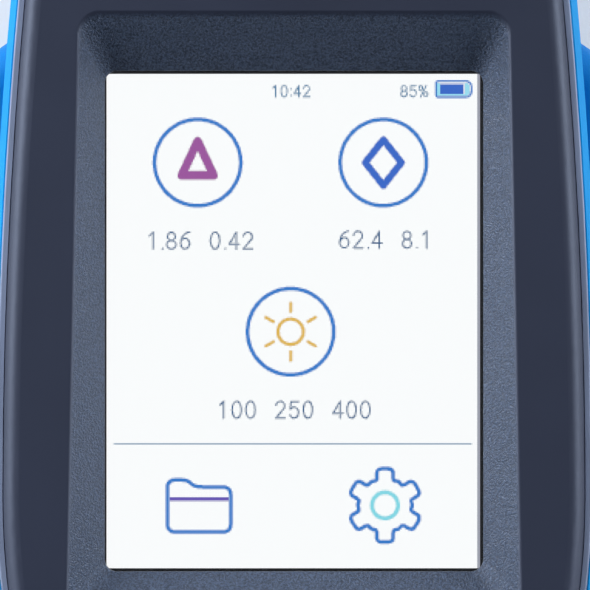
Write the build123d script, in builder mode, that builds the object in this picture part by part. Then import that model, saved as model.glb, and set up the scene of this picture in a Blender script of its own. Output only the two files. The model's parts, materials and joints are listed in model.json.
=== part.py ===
from build123d import *
import os
from math import cos, radians, sin, sqrt, tan

# Benchtop reflectance colorimeter: a wedge-shaped instrument with a tilted touch display at the front
# and a lidded sample stage on its level rear deck.  Millimetres.
# +X is the user's right, +Y points away from the user, +Z is up.  The origin is the middle of the
# footprint on the surface that the feet stand on.

os.makedirs("parts", exist_ok=True)

# ---------------------------------------------------------------------------------------------------
# Driving dimensions
# ---------------------------------------------------------------------------------------------------

# Plan outline of the trim frame, the reference for every casing piece
overall_length = 188.0
half_width = 43.0
widest_reach = 47.5
front_flank_radius = 110.0
rear_taper = 13.15
front_end_radius = 110.0
rear_end_radius = 160.0
front_corner_radius = 16.0
rear_corner_radius = 13.0

# Side profile
face_tilt = 16.0
display_reach = 71.0
display_z = 50.0
deck_z = 65.0
brow_radius = 40.0
foot_height = 2.5

# Casing walls and the steps between cover, trim frame and lower shell
cover_wall = 2.2
cover_edge_radius = 2.4
groove_width = 0.12
trim_width = 1.0
trim_drop = 2.4
trim_gap = 0.1
trim_height = 5.1
trim_edge_radius = 0.25
ledge_thickness = 1.5
lip_width = 1.15
lip_drop = 4.0
lip_chamfer = 0.95
shell_wall = 2.4
shell_floor = 2.2
base_undercut = 3.0
waist_z = 14.0
base_edge_radius = 2.0

# Side grips
grip_reach = 3.0
grip_drop = 7.0
grip_bottom_z = 15.0
grip_front_reach = 17.0
grip_rear_reach = 75.5
grip_end_angle = 34.0
grip_pocket = 0.9
grip_gap = 0.1
grip_edge_radius = 1.0
grip_corner_radius = 5.0

# Display recess and window, in the plane of the face
recess_top_v = 44.6
recess_bottom_v = -42.7
recess_top_half_width = 31.0
recess_bottom_half_width = 32.8
recess_corner_radius = 3.2
recess_edge_radius = 0.5
recess_wall = 1.8
window_width = 54.7
window_height = 72.3
window_corner_radius = 1.8
window_land = 0.6
recess_depth = 5.0

# Display stack below the window
display_shift_x = -0.3
gasket_thickness = 0.6
gasket_border = 1.6
touch_width = 61.0
touch_height = 80.0
touch_thickness = 1.2
touch_corner_radius = 1.5
module_width = 58.8
module_height = 78.0
module_thickness = 3.6
cell_width = 55.8
cell_height = 75.2
cell_thickness = 1.0
cell_gap = 0.1
ribbon_width = 20.0
ribbon_thickness = 0.3
ribbon_reach = 3.0
ribbon_bend_radius = 1.0
bracket_thickness = 1.0
bracket_ear_radius = 3.0
bracket_window_width = 34.0
bracket_window_height = 40.0
display_screw_x = 33.6
display_screw_v = 35.0

# Main board and its parts
board_depth = 16.0
board_thickness = 1.6
board_half_width = 33.0
board_front_v = -52.0
board_rear_v = 50.0
board_tongue_half_width = 15.0
board_tongue_v = -66.0
board_screw_x = 28.0
board_screw_front_v = -48.0
board_screw_rear_v = 47.0
connector_v = -36.0
connector_length = 4.0
connector_height = 1.2
connector_border = 2.0

# Chips on the board's underside: x, v, width, length, height
board_chip_layout = (
    (-12.0, 10.0, 14.0, 14.0, 1.4),
    (12.0, 14.0, 10.0, 12.0, 1.2),
    (14.0, -14.0, 8.0, 8.0, 1.6),
    (-14.0, -18.0, 9.0, 6.0, 2.0),
    (0.0, -36.0, 12.0, 9.0, 2.4),
)

# Measure button below the display
measure_v = -57.0
measure_length = 26.0
measure_width = 12.0
measure_proud = 0.8
measure_travel = 1.2
button_gap = 0.25
button_flange = 1.2
button_flange_thickness = 1.2
button_ring_width = 1.6
button_ring_depth = 0.8
button_wall = 1.6
switch_side = 7.0
switch_height = 4.0
plunger_radius = 1.6
plunger_gap = 0.08
plunger_engagement = 1.2
button_flange_drop = 0.4
button_ring_proud = 0.4
button_edge_radius = 0.7
button_dish = 0.3

# Sample stage on the deck
stage_reach = 34.0
stage_radius = 25.0
stage_step = 3.0
stage_rim_thickness = 1.0
stage_hub_thickness = 3.2
stage_recess = 0.4
port_radius = 6.0
port_lip = 0.8
port_window_border = 1.5
port_neck_wall = 1.5
port_flange = 2.0
port_flange_thickness = 1.6
port_window_thickness = 1.5
port_seal_thickness = 0.5
retainer_wall = 1.3
fit_gap = 0.1

# Optics below the stage: LEDs aimed at the port from all round, detector looking straight up
block_flange_radius = 26.0
block_flange_thickness = 3.0
block_flange_z = 38.0
block_shoulder_radius = 24.5
block_neck_radius = 12.5
block_pocket_radius = 22.0
block_pocket_top_z = 46.0
block_hub_radius = 8.5
chamber_top_radius = 10.0
led_count = 8
led_angle = 45.0
led_radius = 2.5
led_length = 7.0
led_distance = 19.0
led_wall = 2.0
led_lead_width = 0.5
led_lead_spread = 0.9
led_board_inner_radius = 9.5
led_board_outer_radius = 21.5
led_board_z = 40.0
barrel_radius = 6.0
barrel_wall = 1.2
barrel_bottom_z = 22.0
barrel_flange_radius = 11.0
barrel_flange_thickness = 2.0
barrel_screw_x = 8.5
lens_curve_radius = 14.0
lens_edge_thickness = 1.0
lens_z = 43.0
lens_shelf = 0.8
detector_board_side = 26.0
detector_side = 6.0
detector_height = 2.4
optics_post_circle = 25.2
optics_post_radius = 3.2
optics_post_angles = (30, 150, 270)
optics_screw_length = 10.0

# Lid
lid_inset = 7.0
lid_front_reach = 28.0
lid_rear_reach = 23.0
lid_corner_radius = 9.0
lid_gap = 0.3
lid_front_height = 7.5
lid_rear_height = 13.0
lid_top_bow = 2.2
lid_wall = 2.0
lid_edge_radius = 2.5
lid_tab_width = 24.0
lid_tab_reach = 4.5
lid_tab_thickness = 2.4
lid_tab_lift = 1.2
lid_tab_corner_radius = 2.5
liner_thickness = 2.0
seal_thickness = 1.0
seal_width = 3.0
tile_radius = 14.0
tile_thickness = 3.0
tile_clearance = 0.6
holder_wall = 2.0
holder_flange = 2.5
holder_flange_thickness = 1.5
cushion_radius = 12.0
cushion_thickness = 2.2
magnet_x = 22.0
magnet_setback = 6.5
magnet_radius = 3.0
magnet_thickness = 1.6
catch_thickness = 0.7
liner_screw_front = (21.8, -13.0)
liner_screw_rear = (17.3, 15.5)
liner_boss_radius = 2.3
liner_screw_head = 0.9

# Hinge at the rear of the deck
hinge_setback = 4.5
hinge_barrel_radius = 3.4
pin_radius = 1.5
pin_clearance = 0.05
pin_seat_gap = 0.01
hinge_half_span = 21.0
ear_width = 5.0
ear_gap = 0.4
hinge_web_height = 3.4

# Rear connector panel
panel_width = 38.0
panel_height = 18.0
panel_corner_radius = 3.0
panel_z = 28.0
panel_setback = 1.8
panel_flange = 1.5
panel_flange_thickness = 1.6
panel_pillar_z = 5.5
panel_pillar_radius = 2.0
usb_x = -10.5
usb_width = 9.0
usb_height = 3.3
usb_wall = 0.35
usb_tongue_width = 6.7
usb_tongue_thickness = 0.7
usb_setback = 0.4
usb_depth = 7.5
power_x = 10.5
power_radius = 5.0
power_proud = 0.8
power_travel = 0.8
power_flange = 1.2
io_board_setback = 15.0
io_board_half_width = 17.0
io_board_half_height = 8.5

# Battery
battery_length = 50.0
battery_width = 36.0
battery_height = 10.0
battery_reach = 72.0
battery_corner_radius = 1.5
battery_wall = 1.6
battery_clearance = 0.5
door_border = 5.0
door_thickness = 1.8
door_gap = 0.15
door_corner_radius = 3.0
door_boss_height = 5.0
door_screw_sink = 1.0

# Feet and fasteners
foot_radius = 6.5
foot_recess = 1.0
foot_edge_chamfer = 0.6
foot_front_inset = 14.0
foot_front_reach = 30.0
foot_rear_inset = 22.0
foot_rear_reach = 26.0
case_screw_front_inset = 16.0
case_screw_front_reach = 16.0
case_screw_rear_inset = 19.5
case_screw_rear_reach = 13.5
case_screw_radius = 1.5
case_screw_head_radius = 2.75
case_screw_head_height = 2.0
case_screw_length = 14.0
case_screw_grip = 4.0
post_radius = 3.6
front_joint_z = 22.0
rear_joint_z = 50.0
small_screw_radius = 1.0
small_screw_head_radius = 1.9
small_screw_head_height = 1.3
small_screw_length = 4.5
screw_clearance = 0.15
pilot_gap = 0.05
pilot_depth = 5.0
case_pilot_depth = 11.0
display_boss_wall = 1.0
board_boss_wall = 1.8
cut_over = 1.0
upward_normal = 0.9

# ---------------------------------------------------------------------------------------------------
# Derived levels and planes
# ---------------------------------------------------------------------------------------------------


def sag(radius, distance):
    """How far an arc falls away from its tangent at this distance along the tangent."""
    return radius - sqrt(radius**2 - distance**2)


front_edge_y = -overall_length / 2
rear_edge_y = overall_length / 2
front_y = front_edge_y + lip_width
rear_y = rear_edge_y - lip_width
reach_x = 2 * half_width
widest_y = front_edge_y + widest_reach
rear_flank_length = rear_y - widest_y
rear_flank_radius = (rear_flank_length**2 + rear_taper**2) / (2 * rear_taper)
display_y = front_edge_y + display_reach
battery_y = front_edge_y + battery_reach
grip_front_y = front_edge_y + grip_front_reach
grip_rear_y = rear_edge_y - grip_rear_reach
stage_y = rear_edge_y - stage_reach
lid_front_y = stage_y - lid_front_reach
lid_rear_y = stage_y + lid_rear_reach
magnet_y = lid_front_y + magnet_setback
hinge_y = lid_rear_y + hinge_setback
panel_face_y = rear_edge_y - panel_setback
io_board_y = rear_edge_y - io_board_setback
port_window_radius = port_radius + port_window_border
port_neck_radius = port_window_radius + port_neck_wall
port_flange_radius = port_neck_radius + port_flange
shell_bottom_z = foot_height
cavity_floor_z = shell_bottom_z + shell_floor
cover_inset = trim_width + groove_width
cover_inner_inset = cover_inset + cover_wall
skirt_drop = trim_drop + trim_height - ledge_thickness
trim_bottom_drop = trim_drop + trim_height
shell_inner_inset = shell_wall - lip_width
hinge_z = deck_z + hinge_barrel_radius + lid_gap
touch_depth = recess_depth + gasket_thickness
module_depth = touch_depth + touch_thickness
bracket_depth = module_depth + module_thickness
stage_top_z = deck_z - stage_recess
stage_bottom_z = stage_top_z - stage_hub_thickness
block_top_z = stage_bottom_z - fit_gap
lid_bottom_z = deck_z + lid_gap
liner_z = lid_bottom_z + seal_thickness
tile_z = deck_z + tile_clearance
holder_z = tile_z + fit_gap
holder_flange_z = liner_z + liner_thickness
holder_top_z = holder_flange_z + holder_flange_thickness
board_top_depth = board_depth
board_bottom_depth = board_depth + board_thickness
door_boss_z = cavity_floor_z + door_boss_height
# The panel's flange meets the inside of the bowed rear wall at the opening's ends
panel_flange_y = rear_y - shell_inner_inset - sag(rear_end_radius, panel_width / 2 + panel_flange) - fit_gap
panel_inner_y = panel_flange_y - panel_flange_thickness

face = Plane(
    origin=(0, display_y, display_z),
    x_dir=(1, 0, 0),
    z_dir=(0, -sin(radians(face_tilt)), cos(radians(face_tilt))),
)
# The upright plane through the middle of the face: first axis up the face, second axis out of it
face_side = Plane(origin=face.origin, x_dir=face.y_dir, z_dir=(1, 0, 0))
face_axis = Axis(face.origin, face.z_dir)
measure_center = face.origin + face.y_dir * measure_v


def face_plane(depth):
    """The plane parallel to the face, this far below it."""
    return face.offset(-depth)


def crossing(first_center, first_radius, second_center, second_radius, toward):
    """The point where two circles cross: the rearmost with toward 1, the foremost with toward -1."""
    across = second_center[0] - first_center[0]
    along = second_center[1] - first_center[1]
    span = sqrt(across**2 + along**2)
    reach = (span**2 + first_radius**2 - second_radius**2) / (2 * span)
    height = sqrt(first_radius**2 - reach**2)
    foot_x = first_center[0] + across * reach / span
    foot_y = first_center[1] + along * reach / span
    points = [
        (foot_x + turn * height * along / span, foot_y - turn * height * across / span) for turn in (-1, 1)
    ]
    return max(points, key=lambda point: toward * point[1])


def body_outline(inset):
    """Plan outline of the instrument moved inward by inset: bowed flanks and ends, rounded corners."""
    flank_front = (half_width - front_flank_radius, widest_y)
    flank_rear = (half_width - rear_flank_radius, widest_y)
    front_end = (0, front_y + front_end_radius)
    rear_end = (0, rear_y - rear_end_radius)
    front_corner = crossing(flank_front, front_flank_radius - inset, front_end, front_end_radius - inset, -1)
    rear_corner = crossing(flank_rear, rear_flank_radius - inset, rear_end, rear_end_radius - inset, 1)
    widest = (half_width - inset, widest_y)
    with BuildSketch() as outline:
        with BuildLine():
            RadiusArc(front_corner, widest, -(front_flank_radius - inset))
            RadiusArc(widest, rear_corner, -(rear_flank_radius - inset))
            mirror(about=Plane.YZ)
            ThreePointArc((-front_corner[0], front_corner[1]), (0, front_y + inset), front_corner)
            ThreePointArc((-rear_corner[0], rear_corner[1]), (0, rear_y - inset), rear_corner)
        make_face()
        fillet(outline.vertices().group_by(Axis.Y)[0], radius=front_corner_radius - inset)
        fillet(outline.vertices().group_by(Axis.Y)[-1], radius=rear_corner_radius - inset)
    return outline.sketch


def side_region(drop):
    """Side view of everything below the top surface lowered by drop, Y across and Z up."""
    face_drop = drop / cos(radians(face_tilt))
    slope = tan(radians(face_tilt))
    front_end = -overall_length
    front_z = display_z - face_drop + (front_end - display_y) * slope
    brow_z = deck_z - drop
    brow_y = display_y + (brow_z - display_z + face_drop) / slope
    with BuildSketch() as region:
        with BuildLine():
            FilletPolyline(
                (front_end, front_z), (brow_y, brow_z), (overall_length, brow_z), radius=brow_radius - drop
            )
            Polyline(
                (overall_length, brow_z),
                (overall_length, -overall_length),
                (front_end, -overall_length),
                (front_end, front_z),
            )
        make_face()
    return region.sketch


def outline_prism(inset, drop):
    """Solid of the plan outline below the lowered top surface, open-ended towards the ground."""
    with BuildPart() as prism:
        with BuildSketch():
            add(body_outline(inset))
        extrude(amount=2 * deck_z)
        with BuildSketch(Plane.YZ):
            add(side_region(drop))
        extrude(amount=reach_x, both=True, mode=Mode.INTERSECT)
    return prism.part


def recess_outline(grow):
    """Rounded trapezium where the display recess meets the face, widened all round by grow."""
    with BuildSketch() as outline:
        with BuildLine():
            Polyline(
                (-recess_bottom_half_width - grow, recess_bottom_v - grow),
                (recess_bottom_half_width + grow, recess_bottom_v - grow),
                (recess_top_half_width + grow, recess_top_v + grow),
                (-recess_top_half_width - grow, recess_top_v + grow),
                close=True,
            )
        make_face()
        fillet(outline.vertices(), radius=recess_corner_radius + grow)
    return outline.sketch


def window_outline(grow):
    """Rounded rectangle of the display window."""
    with BuildSketch() as outline:
        RectangleRounded(window_width + 2 * grow, window_height + 2 * grow, window_corner_radius + grow)
    return outline.sketch


def screw(plane, points, length, facing=-1):
    """Small screws seated on the plane: heads on the side that facing names, shafts on the other."""
    with BuildPart() as group:
        with BuildSketch(plane):
            with Locations(*points):
                Circle(small_screw_head_radius)
        extrude(amount=facing * small_screw_head_height)
        with BuildSketch(plane):
            with Locations(*points):
                Circle(small_screw_radius)
        extrude(amount=-facing * length)
    return group.part


def finish(builder, name):
    """Name the piece and write its STEP file."""
    builder.part.label = name
    export_step(builder.part, f"parts/{name}.step")


# ---------------------------------------------------------------------------------------------------
# Casing
# ---------------------------------------------------------------------------------------------------

case_screw_rows = (
    (half_width - case_screw_front_inset, front_edge_y + case_screw_front_reach, front_joint_z),
    (half_width - case_screw_rear_inset, rear_edge_y - case_screw_rear_reach, rear_joint_z),
)
case_screw_points = [(side * x, y, joint_z) for x, y, joint_z in case_screw_rows for side in (-1, 1)]
display_screw_points = [
    (x, v) for x in (-display_screw_x, display_screw_x) for v in (-display_screw_v, display_screw_v)
]
board_screw_points = [
    (x, v) for x in (-board_screw_x, board_screw_x) for v in (board_screw_front_v, board_screw_rear_v)
]
foot_rows = (
    (half_width - foot_front_inset, front_edge_y + foot_front_reach),
    (half_width - foot_rear_inset, rear_edge_y - foot_rear_reach),
)
foot_points = [(side * x, y) for x, y in foot_rows for side in (-1, 1)]
liner_screw_rows = (liner_screw_front, liner_screw_rear)
liner_screw_points = [(side * x, stage_y + along) for x, along in liner_screw_rows for side in (-1, 1)]
magnet_points = [(side * magnet_x, magnet_y) for side in (-1, 1)]
door_screw_reach = battery_length / 2 + battery_clearance + door_border / 2
door_screw_points = [(0, battery_y + side * door_screw_reach) for side in (-1, 1)]
optics_post_points = [
    (optics_post_circle * cos(radians(turn)), stage_y + optics_post_circle * sin(radians(turn)))
    for turn in optics_post_angles
]
pillar_points = [(0, -panel_pillar_z), (0, panel_pillar_z)]


def upper_rim(builder):
    """Outer edges of the faces that look up."""
    upper = builder.faces().filter_by(lambda f: f.normal_at().Z > upward_normal)
    return [e for e in upper.edges() if sum(e in f.edges() for f in upper) == 1]


with BuildPart() as top_cover:
    add(outline_prism(cover_inset, 0))
    fillet(upper_rim(top_cover), radius=cover_edge_radius)
    add(outline_prism(cover_inner_inset, cover_wall), mode=Mode.SUBTRACT)
    add(outline_prism(0, skirt_drop), mode=Mode.SUBTRACT)
    # Sloping walls round the display recess
    with BuildSketch(face_plane(cover_wall / 2)):
        add(recess_outline(recess_wall))
    with BuildSketch(face_plane(recess_depth)):
        add(window_outline(recess_wall))
    loft(ruled=True)
    with BuildSketch(face_plane(0)):
        add(recess_outline(0))
    with BuildSketch(face_plane(recess_depth - window_land)):
        add(window_outline(0))
    loft(ruled=True, mode=Mode.SUBTRACT)
    with BuildSketch(face_plane(recess_depth + cut_over)):
        add(window_outline(0))
    extrude(amount=window_land + 2 * cut_over, mode=Mode.SUBTRACT)
    face_top = top_cover.faces().filter_by(lambda f: f.normal_at().dot(face.z_dir) > upward_normal)
    face_top = face_top.filter_by(GeomType.PLANE).sort_by(face_axis)[-1]
    fillet(face_top.inner_wires()[0].edges(), radius=recess_edge_radius)
    # Bosses for the display bracket and the main board
    for depth, points, wall in (
        (bracket_depth, display_screw_points, display_boss_wall),
        (board_top_depth, board_screw_points, board_boss_wall),
    ):
        with BuildSketch(face_plane(depth)):
            with Locations(*points):
                Circle(small_screw_radius + wall)
        extrude(amount=depth - cover_wall / 2)
        with BuildSketch(face_plane(depth)):
            with Locations(*points):
                Circle(small_screw_radius + pilot_gap)
        extrude(amount=pilot_depth, mode=Mode.SUBTRACT)
    # Bosses that take the case screws from below
    for x, y, joint_z in case_screw_points:
        with BuildSketch(Plane.XY.offset(joint_z)):
            with Locations((x, y)):
                Circle(post_radius)
        extrude(until=Until.NEXT)
        with BuildSketch(Plane.XY.offset(joint_z)):
            with Locations((x, y)):
                Circle(case_screw_radius + pilot_gap)
        extrude(amount=case_pilot_depth, mode=Mode.SUBTRACT)
    # Measure button: seat for its collar and a hole with a running gap
    with BuildSketch(face_plane(0)):
        with Locations((0, measure_v)):
            SlotOverall(measure_length + 2 * button_ring_width, measure_width + 2 * button_ring_width)
    extrude(amount=-button_ring_depth, mode=Mode.SUBTRACT)
    with BuildSketch(face_plane(0)):
        with Locations((0, measure_v)):
            SlotOverall(measure_length + 2 * button_gap, measure_width + 2 * button_gap)
    extrude(amount=-2 * cover_wall, mode=Mode.SUBTRACT)
    # Stepped seat for the sample stage
    with BuildSketch(Plane.XY.offset(deck_z)):
        with Locations((0, stage_y)):
            Circle(stage_radius + fit_gap)
    extrude(amount=-stage_recess - stage_rim_thickness, mode=Mode.SUBTRACT)
    with BuildSketch(Plane.XY.offset(deck_z)):
        with Locations((0, stage_y)):
            Circle(stage_radius - stage_step)
    extrude(amount=-2 * cover_wall, mode=Mode.SUBTRACT)
    # Seats for the catch plates that the lid magnets pull on
    with BuildSketch(Plane.XY.offset(deck_z)):
        with Locations((-magnet_x, magnet_y), (magnet_x, magnet_y)):
            Circle(magnet_radius + fit_gap)
    extrude(amount=-catch_thickness, mode=Mode.SUBTRACT)
    # Ears for the lid hinge, drawn from the side
    for side in (-1, 1):
        with BuildSketch(Plane.YZ.offset(side * hinge_half_span)):
            with Locations((hinge_y, hinge_z)):
                Circle(hinge_barrel_radius)
            with Locations((hinge_y, (hinge_z + deck_z - cover_wall / 2) / 2)):
                Rectangle(2 * hinge_barrel_radius, hinge_z - deck_z + cover_wall / 2)
        extrude(amount=-side * ear_width)
    with BuildSketch(Plane.YZ):
        with Locations((hinge_y, hinge_z)):
            Circle(pin_radius + pin_seat_gap)
    extrude(amount=reach_x, both=True, mode=Mode.SUBTRACT)
finish(top_cover, "top_cover")

with BuildPart() as trim_frame:
    add(outline_prism(trim_gap, trim_drop))
    fillet(upper_rim(trim_frame), radius=trim_edge_radius)
    add(outline_prism(trim_width, 0), mode=Mode.SUBTRACT)
    # Ledge under the cover's skirt
    with BuildPart(mode=Mode.PRIVATE) as ledge:
        add(outline_prism(trim_width - fit_gap, skirt_drop))
        add(outline_prism(cover_inner_inset, 0), mode=Mode.SUBTRACT)
    add(ledge.part)
    add(outline_prism(-lip_width, trim_bottom_drop), mode=Mode.SUBTRACT)
finish(trim_frame, "trim_frame")


def grip_region(inner_inset, grow):
    """Solid band along the right flank that a grip fills, its ends slanted in plan."""
    lean = tan(radians(grip_end_angle))
    root_x = half_width - 2 * grip_reach
    outer_x = half_width + 2 * grip_reach
    with BuildPart() as band:
        add(outline_prism(-lip_width - grip_reach, grip_drop - grow))
        with BuildSketch():
            add(body_outline(inner_inset))
        extrude(amount=deck_z, mode=Mode.SUBTRACT)
        with BuildSketch(Plane.XY.offset(grip_bottom_z - grow)):
            with BuildLine():
                Polyline(
                    (root_x, grip_front_y - grow + (root_x - half_width) * lean),
                    (outer_x, grip_front_y - grow + (outer_x - half_width) * lean),
                    (outer_x, grip_rear_y + grow - (outer_x - half_width) * lean),
                    (root_x, grip_rear_y + grow - (root_x - half_width) * lean),
                    close=True,
                )
            make_face()
        extrude(amount=deck_z, mode=Mode.INTERSECT)
        rear_end = band.faces().sort_by(Axis.Y)[-1]
        corners = rear_end.edges().filter_by(lambda e: abs(e.tangent_at(0.5).Z) < cos(radians(45)))
        fillet(corners, radius=grip_corner_radius + grow)
    return band.part


with BuildPart() as lower_shell:
    # Vertical upper walls, tapered below the waist
    with BuildSketch(Plane.XY.offset(shell_bottom_z)):
        add(body_outline(base_undercut - lip_width))
    with BuildSketch(Plane.XY.offset(waist_z)):
        add(body_outline(-lip_width))
    loft(ruled=True)
    fillet(lower_shell.faces().sort_by(Axis.Z)[0].edges(), radius=base_edge_radius)
    with BuildSketch(Plane.XY.offset(waist_z)):
        add(body_outline(-lip_width))
    extrude(amount=deck_z)
    with BuildSketch(Plane.YZ):
        add(side_region(lip_drop))
    extrude(amount=reach_x, both=True, mode=Mode.INTERSECT)
    chamfer(upper_rim(lower_shell), length=lip_chamfer)
    # Hollow inside
    with BuildSketch(Plane.XY.offset(cavity_floor_z)):
        add(body_outline(base_undercut - lip_width + shell_wall))
    with BuildSketch(Plane.XY.offset(waist_z)):
        add(body_outline(shell_inner_inset))
    loft(ruled=True, mode=Mode.SUBTRACT)
    with BuildSketch(Plane.XY.offset(waist_z)):
        add(body_outline(shell_inner_inset))
    extrude(amount=deck_z, mode=Mode.SUBTRACT)
    # Step that the trim frame stands on
    with BuildPart(mode=Mode.PRIVATE) as seat:
        add(outline_prism(0, 0))
        add(outline_prism(-2 * lip_width, trim_bottom_drop), mode=Mode.SUBTRACT)
    add(seat.part, mode=Mode.SUBTRACT)
    # Shallow pockets for the side grips
    with BuildPart(mode=Mode.PRIVATE) as grip_pockets:
        add(grip_region(grip_pocket - lip_width, grip_gap))
        mirror(about=Plane.YZ)
    add(grip_pockets.part, mode=Mode.SUBTRACT)
    # Battery bay: thick rim round the door, walls and roof round the pack
    bay_length = battery_length + 2 * battery_clearance
    bay_width = battery_width + 2 * battery_clearance
    bay_top_z = shell_bottom_z + door_thickness + battery_height + 2 * battery_clearance
    with BuildSketch(Plane.XY.offset(cavity_floor_z - shell_floor / 2)):
        with Locations((0, battery_y)):
            Rectangle(bay_width + 2 * door_border + 2 * battery_wall, bay_length + 2 * door_border + 2 * battery_wall)
    extrude(amount=shell_floor / 2 + door_thickness)
    with BuildSketch(Plane.XY.offset(cavity_floor_z)):
        with Locations((0, battery_y)):
            Rectangle(bay_width + 2 * battery_wall, bay_length + 2 * battery_wall)
    extrude(amount=bay_top_z + battery_wall - cavity_floor_z)
    with BuildSketch(Plane.XY.offset(cavity_floor_z)):
        with Locations(*door_screw_points):
            Circle(small_screw_radius + board_boss_wall)
    extrude(amount=door_boss_z - cavity_floor_z)
    with BuildSketch(Plane.XY):
        with Locations((0, battery_y)):
            Rectangle(bay_width, bay_length)
    extrude(amount=bay_top_z, mode=Mode.SUBTRACT)
    with BuildSketch(Plane.XY):
        with Locations((0, battery_y)):
            RectangleRounded(
                bay_width + 2 * door_border, bay_length + 2 * door_border, door_corner_radius + door_gap
            )
    extrude(amount=shell_bottom_z + door_thickness, mode=Mode.SUBTRACT)
    with BuildSketch(Plane.XY):
        with Locations(*door_screw_points):
            Circle(small_screw_radius + pilot_gap)
    extrude(amount=door_boss_z - pilot_gap, mode=Mode.SUBTRACT)
    # Posts for the case screws, bored from below
    for x, y, joint_z in case_screw_points:
        with BuildSketch(Plane.XY.offset(cavity_floor_z - shell_floor / 2)):
            with Locations((x, y)):
                Circle(post_radius)
        extrude(amount=joint_z - cavity_floor_z + shell_floor / 2)
        with Locations(Location((x, y, 0))):
            Cylinder(
                case_screw_head_radius + screw_clearance,
                joint_z - case_screw_grip,
                align=(Align.CENTER, Align.CENTER, Align.MIN),
                mode=Mode.SUBTRACT,
            )
            Cylinder(
                case_screw_radius + screw_clearance,
                joint_z + cut_over,
                align=(Align.CENTER, Align.CENTER, Align.MIN),
                mode=Mode.SUBTRACT,
            )
    # Posts that carry the optics block
    with BuildSketch(Plane.XY.offset(cavity_floor_z - shell_floor / 2)):
        with Locations(*optics_post_points):
            Circle(optics_post_radius)
    extrude(amount=block_flange_z - cavity_floor_z + shell_floor / 2)
    with BuildSketch(Plane.XY.offset(block_flange_z)):
        with Locations(*optics_post_points):
            Circle(small_screw_radius + pilot_gap)
    extrude(amount=-optics_screw_length, mode=Mode.SUBTRACT)
    # Recesses for the feet
    with BuildSketch(Plane.XY):
        with Locations(*foot_points):
            Circle(foot_radius + fit_gap)
    extrude(amount=shell_bottom_z + foot_recess, mode=Mode.SUBTRACT)
    # Opening for the connector panel
    with BuildSketch(Plane.XZ.offset(-overall_length)):
        with Locations((0, panel_z)):
            RectangleRounded(panel_width, panel_height, panel_corner_radius)
    extrude(amount=overall_length - panel_inner_y, mode=Mode.SUBTRACT)
finish(lower_shell, "lower_shell")

with BuildPart() as right_grip:
    add(grip_region(grip_pocket - lip_width - grip_gap, 0))
    outer_face = right_grip.faces().sort_by(Axis.X)[-1]
    fillet(outer_face.outer_wire().edges(), radius=grip_edge_radius)
finish(right_grip, "right_grip")

with BuildPart() as left_grip:
    add(right_grip.part)
    mirror(about=Plane.YZ, mode=Mode.REPLACE)
finish(left_grip, "left_grip")

with BuildPart() as feet:
    with BuildSketch():
        with Locations(*foot_points):
            Circle(foot_radius)
    extrude(amount=foot_height + foot_recess)
    chamfer(feet.edges().group_by(Axis.Z)[0], length=foot_edge_chamfer)
finish(feet, "feet")

with BuildPart() as case_screws:
    for x, y, joint_z in case_screw_points:
        with Locations((x, y, joint_z - case_screw_grip)):
            Cylinder(
                case_screw_head_radius,
                case_screw_head_height,
                align=(Align.CENTER, Align.CENTER, Align.MAX),
            )
            Cylinder(case_screw_radius, case_screw_length, align=(Align.CENTER, Align.CENTER, Align.MIN))
finish(case_screws, "case_screws")

# ---------------------------------------------------------------------------------------------------
# Display
# ---------------------------------------------------------------------------------------------------

with BuildPart() as display_gasket:
    with BuildSketch(face_plane(recess_depth)):
        add(window_outline(gasket_border))
        add(window_outline(0), mode=Mode.SUBTRACT)
    extrude(amount=-gasket_thickness)
finish(display_gasket, "display_gasket")

with BuildPart() as touch_panel:
    with BuildSketch(face_plane(touch_depth)):
        RectangleRounded(touch_width, touch_height, touch_corner_radius)
    extrude(amount=-touch_thickness)
finish(touch_panel, "touch_panel")

with BuildPart() as display_cell:
    with BuildSketch(face_plane(module_depth)):
        with Locations((display_shift_x, 0)):
            Rectangle(cell_width, cell_height)
    extrude(amount=-cell_thickness)
finish(display_cell, "display_cell")

with BuildPart() as display_module:
    with BuildSketch(face_plane(module_depth)):
        with Locations((display_shift_x, 0)):
            RectangleRounded(module_width, module_height, touch_corner_radius)
    extrude(amount=-module_thickness)
    with BuildSketch(face_plane(module_depth)):
        with Locations((display_shift_x, 0)):
            Rectangle(cell_width + 2 * cell_gap, cell_height + 2 * cell_gap)
    extrude(amount=-cell_thickness, mode=Mode.SUBTRACT)
finish(display_module, "display_module")

with BuildPart() as display_bracket:
    with BuildSketch(face_plane(bracket_depth)):
        RectangleRounded(touch_width, touch_height, touch_corner_radius)
        for x, v in display_screw_points:
            with Locations((x, v)):
                Circle(bracket_ear_radius)
            with Locations((x - bracket_ear_radius if x > 0 else x + bracket_ear_radius, v)):
                Rectangle(2 * bracket_ear_radius, 2 * bracket_ear_radius)
        Rectangle(bracket_window_width, bracket_window_height, mode=Mode.SUBTRACT)
        with Locations(*display_screw_points):
            Circle(small_screw_radius + screw_clearance, mode=Mode.SUBTRACT)
    extrude(amount=-bracket_thickness)
finish(display_bracket, "display_bracket")

with BuildPart() as display_screws:
    add(
        screw(
            face_plane(bracket_depth + bracket_thickness),
            display_screw_points,
            small_screw_length,
        )
    )
finish(display_screws, "display_screws")

with BuildPart() as display_ribbon:
    # Flat cable round the module's lower edge to the connector on the main board
    module_edge_v = -module_height / 2
    module_exit_n = -(module_depth + cell_thickness + ribbon_reach / 2)
    connector_n = connector_height - board_top_depth
    with BuildSketch(face_side):
        with BuildLine():
            FilletPolyline(
                (module_edge_v, module_exit_n),
                (module_edge_v - ribbon_reach, module_exit_n),
                (module_edge_v - ribbon_reach, connector_n + ribbon_thickness / 2),
                (connector_v, connector_n + ribbon_thickness / 2),
                radius=ribbon_bend_radius,
            )
        trace(line_width=ribbon_thickness)
    extrude(amount=ribbon_width / 2, both=True)
finish(display_ribbon, "display_ribbon")

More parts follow.
